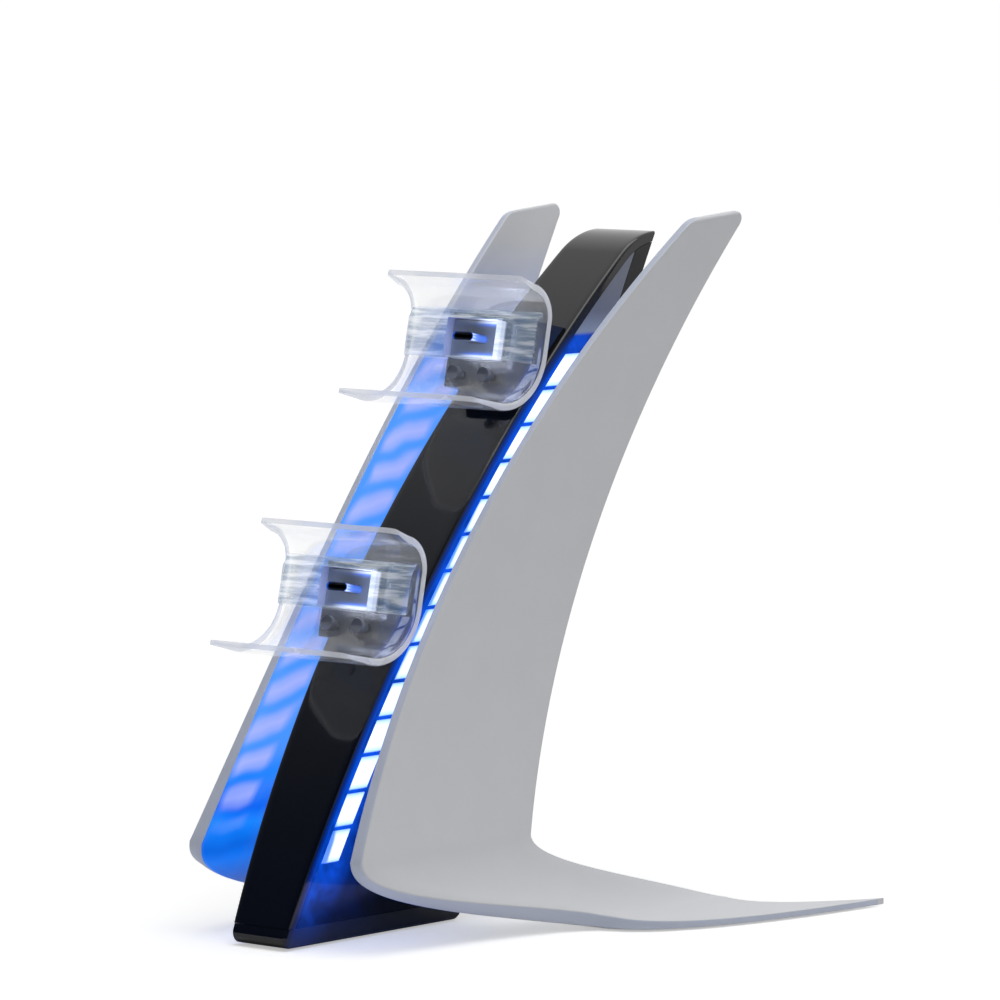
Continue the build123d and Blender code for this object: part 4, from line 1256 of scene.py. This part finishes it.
@dataclass
class Studio:
    """White floor, a soft lamp and the camera. The floor's and the lamp's lengths are in metres."""

    eye: tuple[float, float, float] = (1304.9, -1454.7, 312.6)
    aim: tuple[float, float, float] = (9.9, 58.5, 127.9)
    lens: float = 234.7
    ambient: tuple[float, float] = (0.2, 0.42)
    floor_near: float = 0.45
    floor_far: float = 0.74
    floor_reach: float = 2.0
    floor_half: float = 30.0
    paper: tuple[float, float] = (0.88, 0.92)
    fibres: float = 400.0
    sky_fade: tuple[float, float] = (-0.66, 0.4)
    lamp_place: tuple[float, float, float] = (0.2, 0.1, 1.5)
    lamp_aim: tuple[float, float, float] = (0.0, 0.04, 0.1)
    lamp_side: float = 1.2
    lamp_watts: float = 10.0

    def camera(self) -> None:
        """Long lens from the front right, a little above the dock."""
        data = bpy.data.cameras.new("camera")
        data.lens = self.lens
        data.clip_end = 100.0
        seat = add_object("camera", data)
        seat.location = Vector(self.eye) * MM
        seat.rotation_euler = facing(self.eye, self.aim)
        bpy.context.scene.camera = seat

    def lamp(self) -> None:
        """Square soft lamp overhead that faces the middle of the dock."""
        data = bpy.data.lights.new("overhead_lamp", "AREA")
        data.size = self.lamp_side
        data.energy = self.lamp_watts
        seat = add_object("overhead_lamp", data)
        seat.location = self.lamp_place
        seat.rotation_euler = facing(self.lamp_place, self.lamp_aim)

    def world(self) -> None:
        """White to the eye, grey as light, and in reflections white that darkens towards the front."""
        world = bpy.data.worlds.new("studio")
        bpy.context.scene.world = world
        tree = empty_tree(world)
        path = add_node(tree, "LightPath")
        ahead = add_node(tree, "SeparateXYZ", (add_node(tree, "TexCoord")["Generated"],))["Y"]
        tone = add_node(tree, "MapRange", {
            "Value": ahead, "From Min": self.sky_fade[0], "From Max": self.sky_fade[1]},
            interpolation_type="SMOOTHSTEP")["Result"]
        sky = add_node(tree, "Mix", {0: tone, 6: linear("#243458"), 7: WHITE_LIGHT}, data_type="RGBA")[2]
        level = add_node(tree, "MapRange", {
            "Value": ahead, "From Min": -1.0, "To Min": self.ambient[0],
            "To Max": self.ambient[1]})["Result"]
        lit, mirrored, seen = (
            add_node(tree, "Background", {"Color": colour, "Strength": strength})[0]
            for colour, strength in ((WHITE_LIGHT, level), (sky, 1.0), (WHITE_LIGHT, 1.0)))
        clear = add_node(tree, "Math", (path["Is Camera Ray"], path["Is Transmission Ray"]),
                         operation="MAXIMUM")[0]
        glossy = add_node(tree, "MixShader", (path["Is Glossy Ray"], lit, mirrored))[0]
        both = add_node(tree, "MixShader", (clear, glossy, seen))[0]
        add_node(tree, "OutputWorld", {"Surface": both})

    def floor(self) -> None:
        """Wide white floor that keeps the dock's shadow."""
        made = bpy.data.materials.new("white_paper_floor")
        tree = empty_tree(made)
        path = add_node(tree, "LightPath")
        place = add_node(tree, "TexCoord")["Object"]
        fibre = add_node(tree, "TexNoise", {"Vector": place, "Scale": self.fibres})["Fac"]
        tone = add_node(tree, "MapRange", {
            "Value": fibre, "To Min": self.paper[0], "To Max": self.paper[1]})["Result"]
        paper = add_node(tree, "BsdfDiffuse", {"Color": tone})[0]
        seen = add_node(tree, "Math", (path["Is Camera Ray"], path["Is Transmission Ray"]),
                        operation="MAXIMUM")[0]
        far = add_node(tree, "VectorMath", (place,), operation="LENGTH")["Value"]
        lift = add_node(tree, "MapRange", {
            "Value": far, "From Min": 0.0, "From Max": self.floor_reach, "To Min": self.floor_near,
            "To Max": self.floor_far}, interpolation_type="SMOOTHSTEP")["Result"]
        glow = add_node(tree, "Math", (seen, lift), operation="MULTIPLY")[0]
        light = add_node(tree, "Emission", {"Strength": glow})[0]
        add_node(tree, "OutputMaterial", {"Surface": add_node(tree, "AddShader", (paper, light))[0]})
        mesh = bpy.data.meshes.new("floor")
        half = self.floor_half
        corners = [(-half, -half, 0.0), (half, -half, 0.0), (half, half, 0.0), (-half, half, 0.0)]
        mesh.from_pydata(corners, [], [(0, 1, 2, 3)])
        mesh.materials.append(made)
        floor = add_object("floor", mesh)

    def build(self) -> None:
        """Sets up the studio."""
        self.camera()
        self.world()
        self.floor()
        self.lamp()
        bpy.context.scene.view_settings.view_transform = "Standard"


def dress(finish: Finish, *nodes: str) -> None:
    """Gives solids of the frame their finish.

    Args:
        finish: The finish.
        nodes: Names of the solids.
    """
    for node in nodes:
        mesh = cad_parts[node].data
        mesh.materials.clear()
        mesh.materials.append(finish.material())
        LOG.info("%s: %s", node, finish.name)


def main() -> None:
    """Builds the dock's pieces in order, then the studio."""
    logging.basicConfig(level=logging.INFO, format="%(message)s")
    Column().build()
    Base().build()
    for side in Side:
        Wing().build(side)
    for level in Level:
        Cradle(level).build()
    dress(Finishes.SCREW, "cradle_screws")
    Studio().build()


if __name__ == "__main__":
    main()
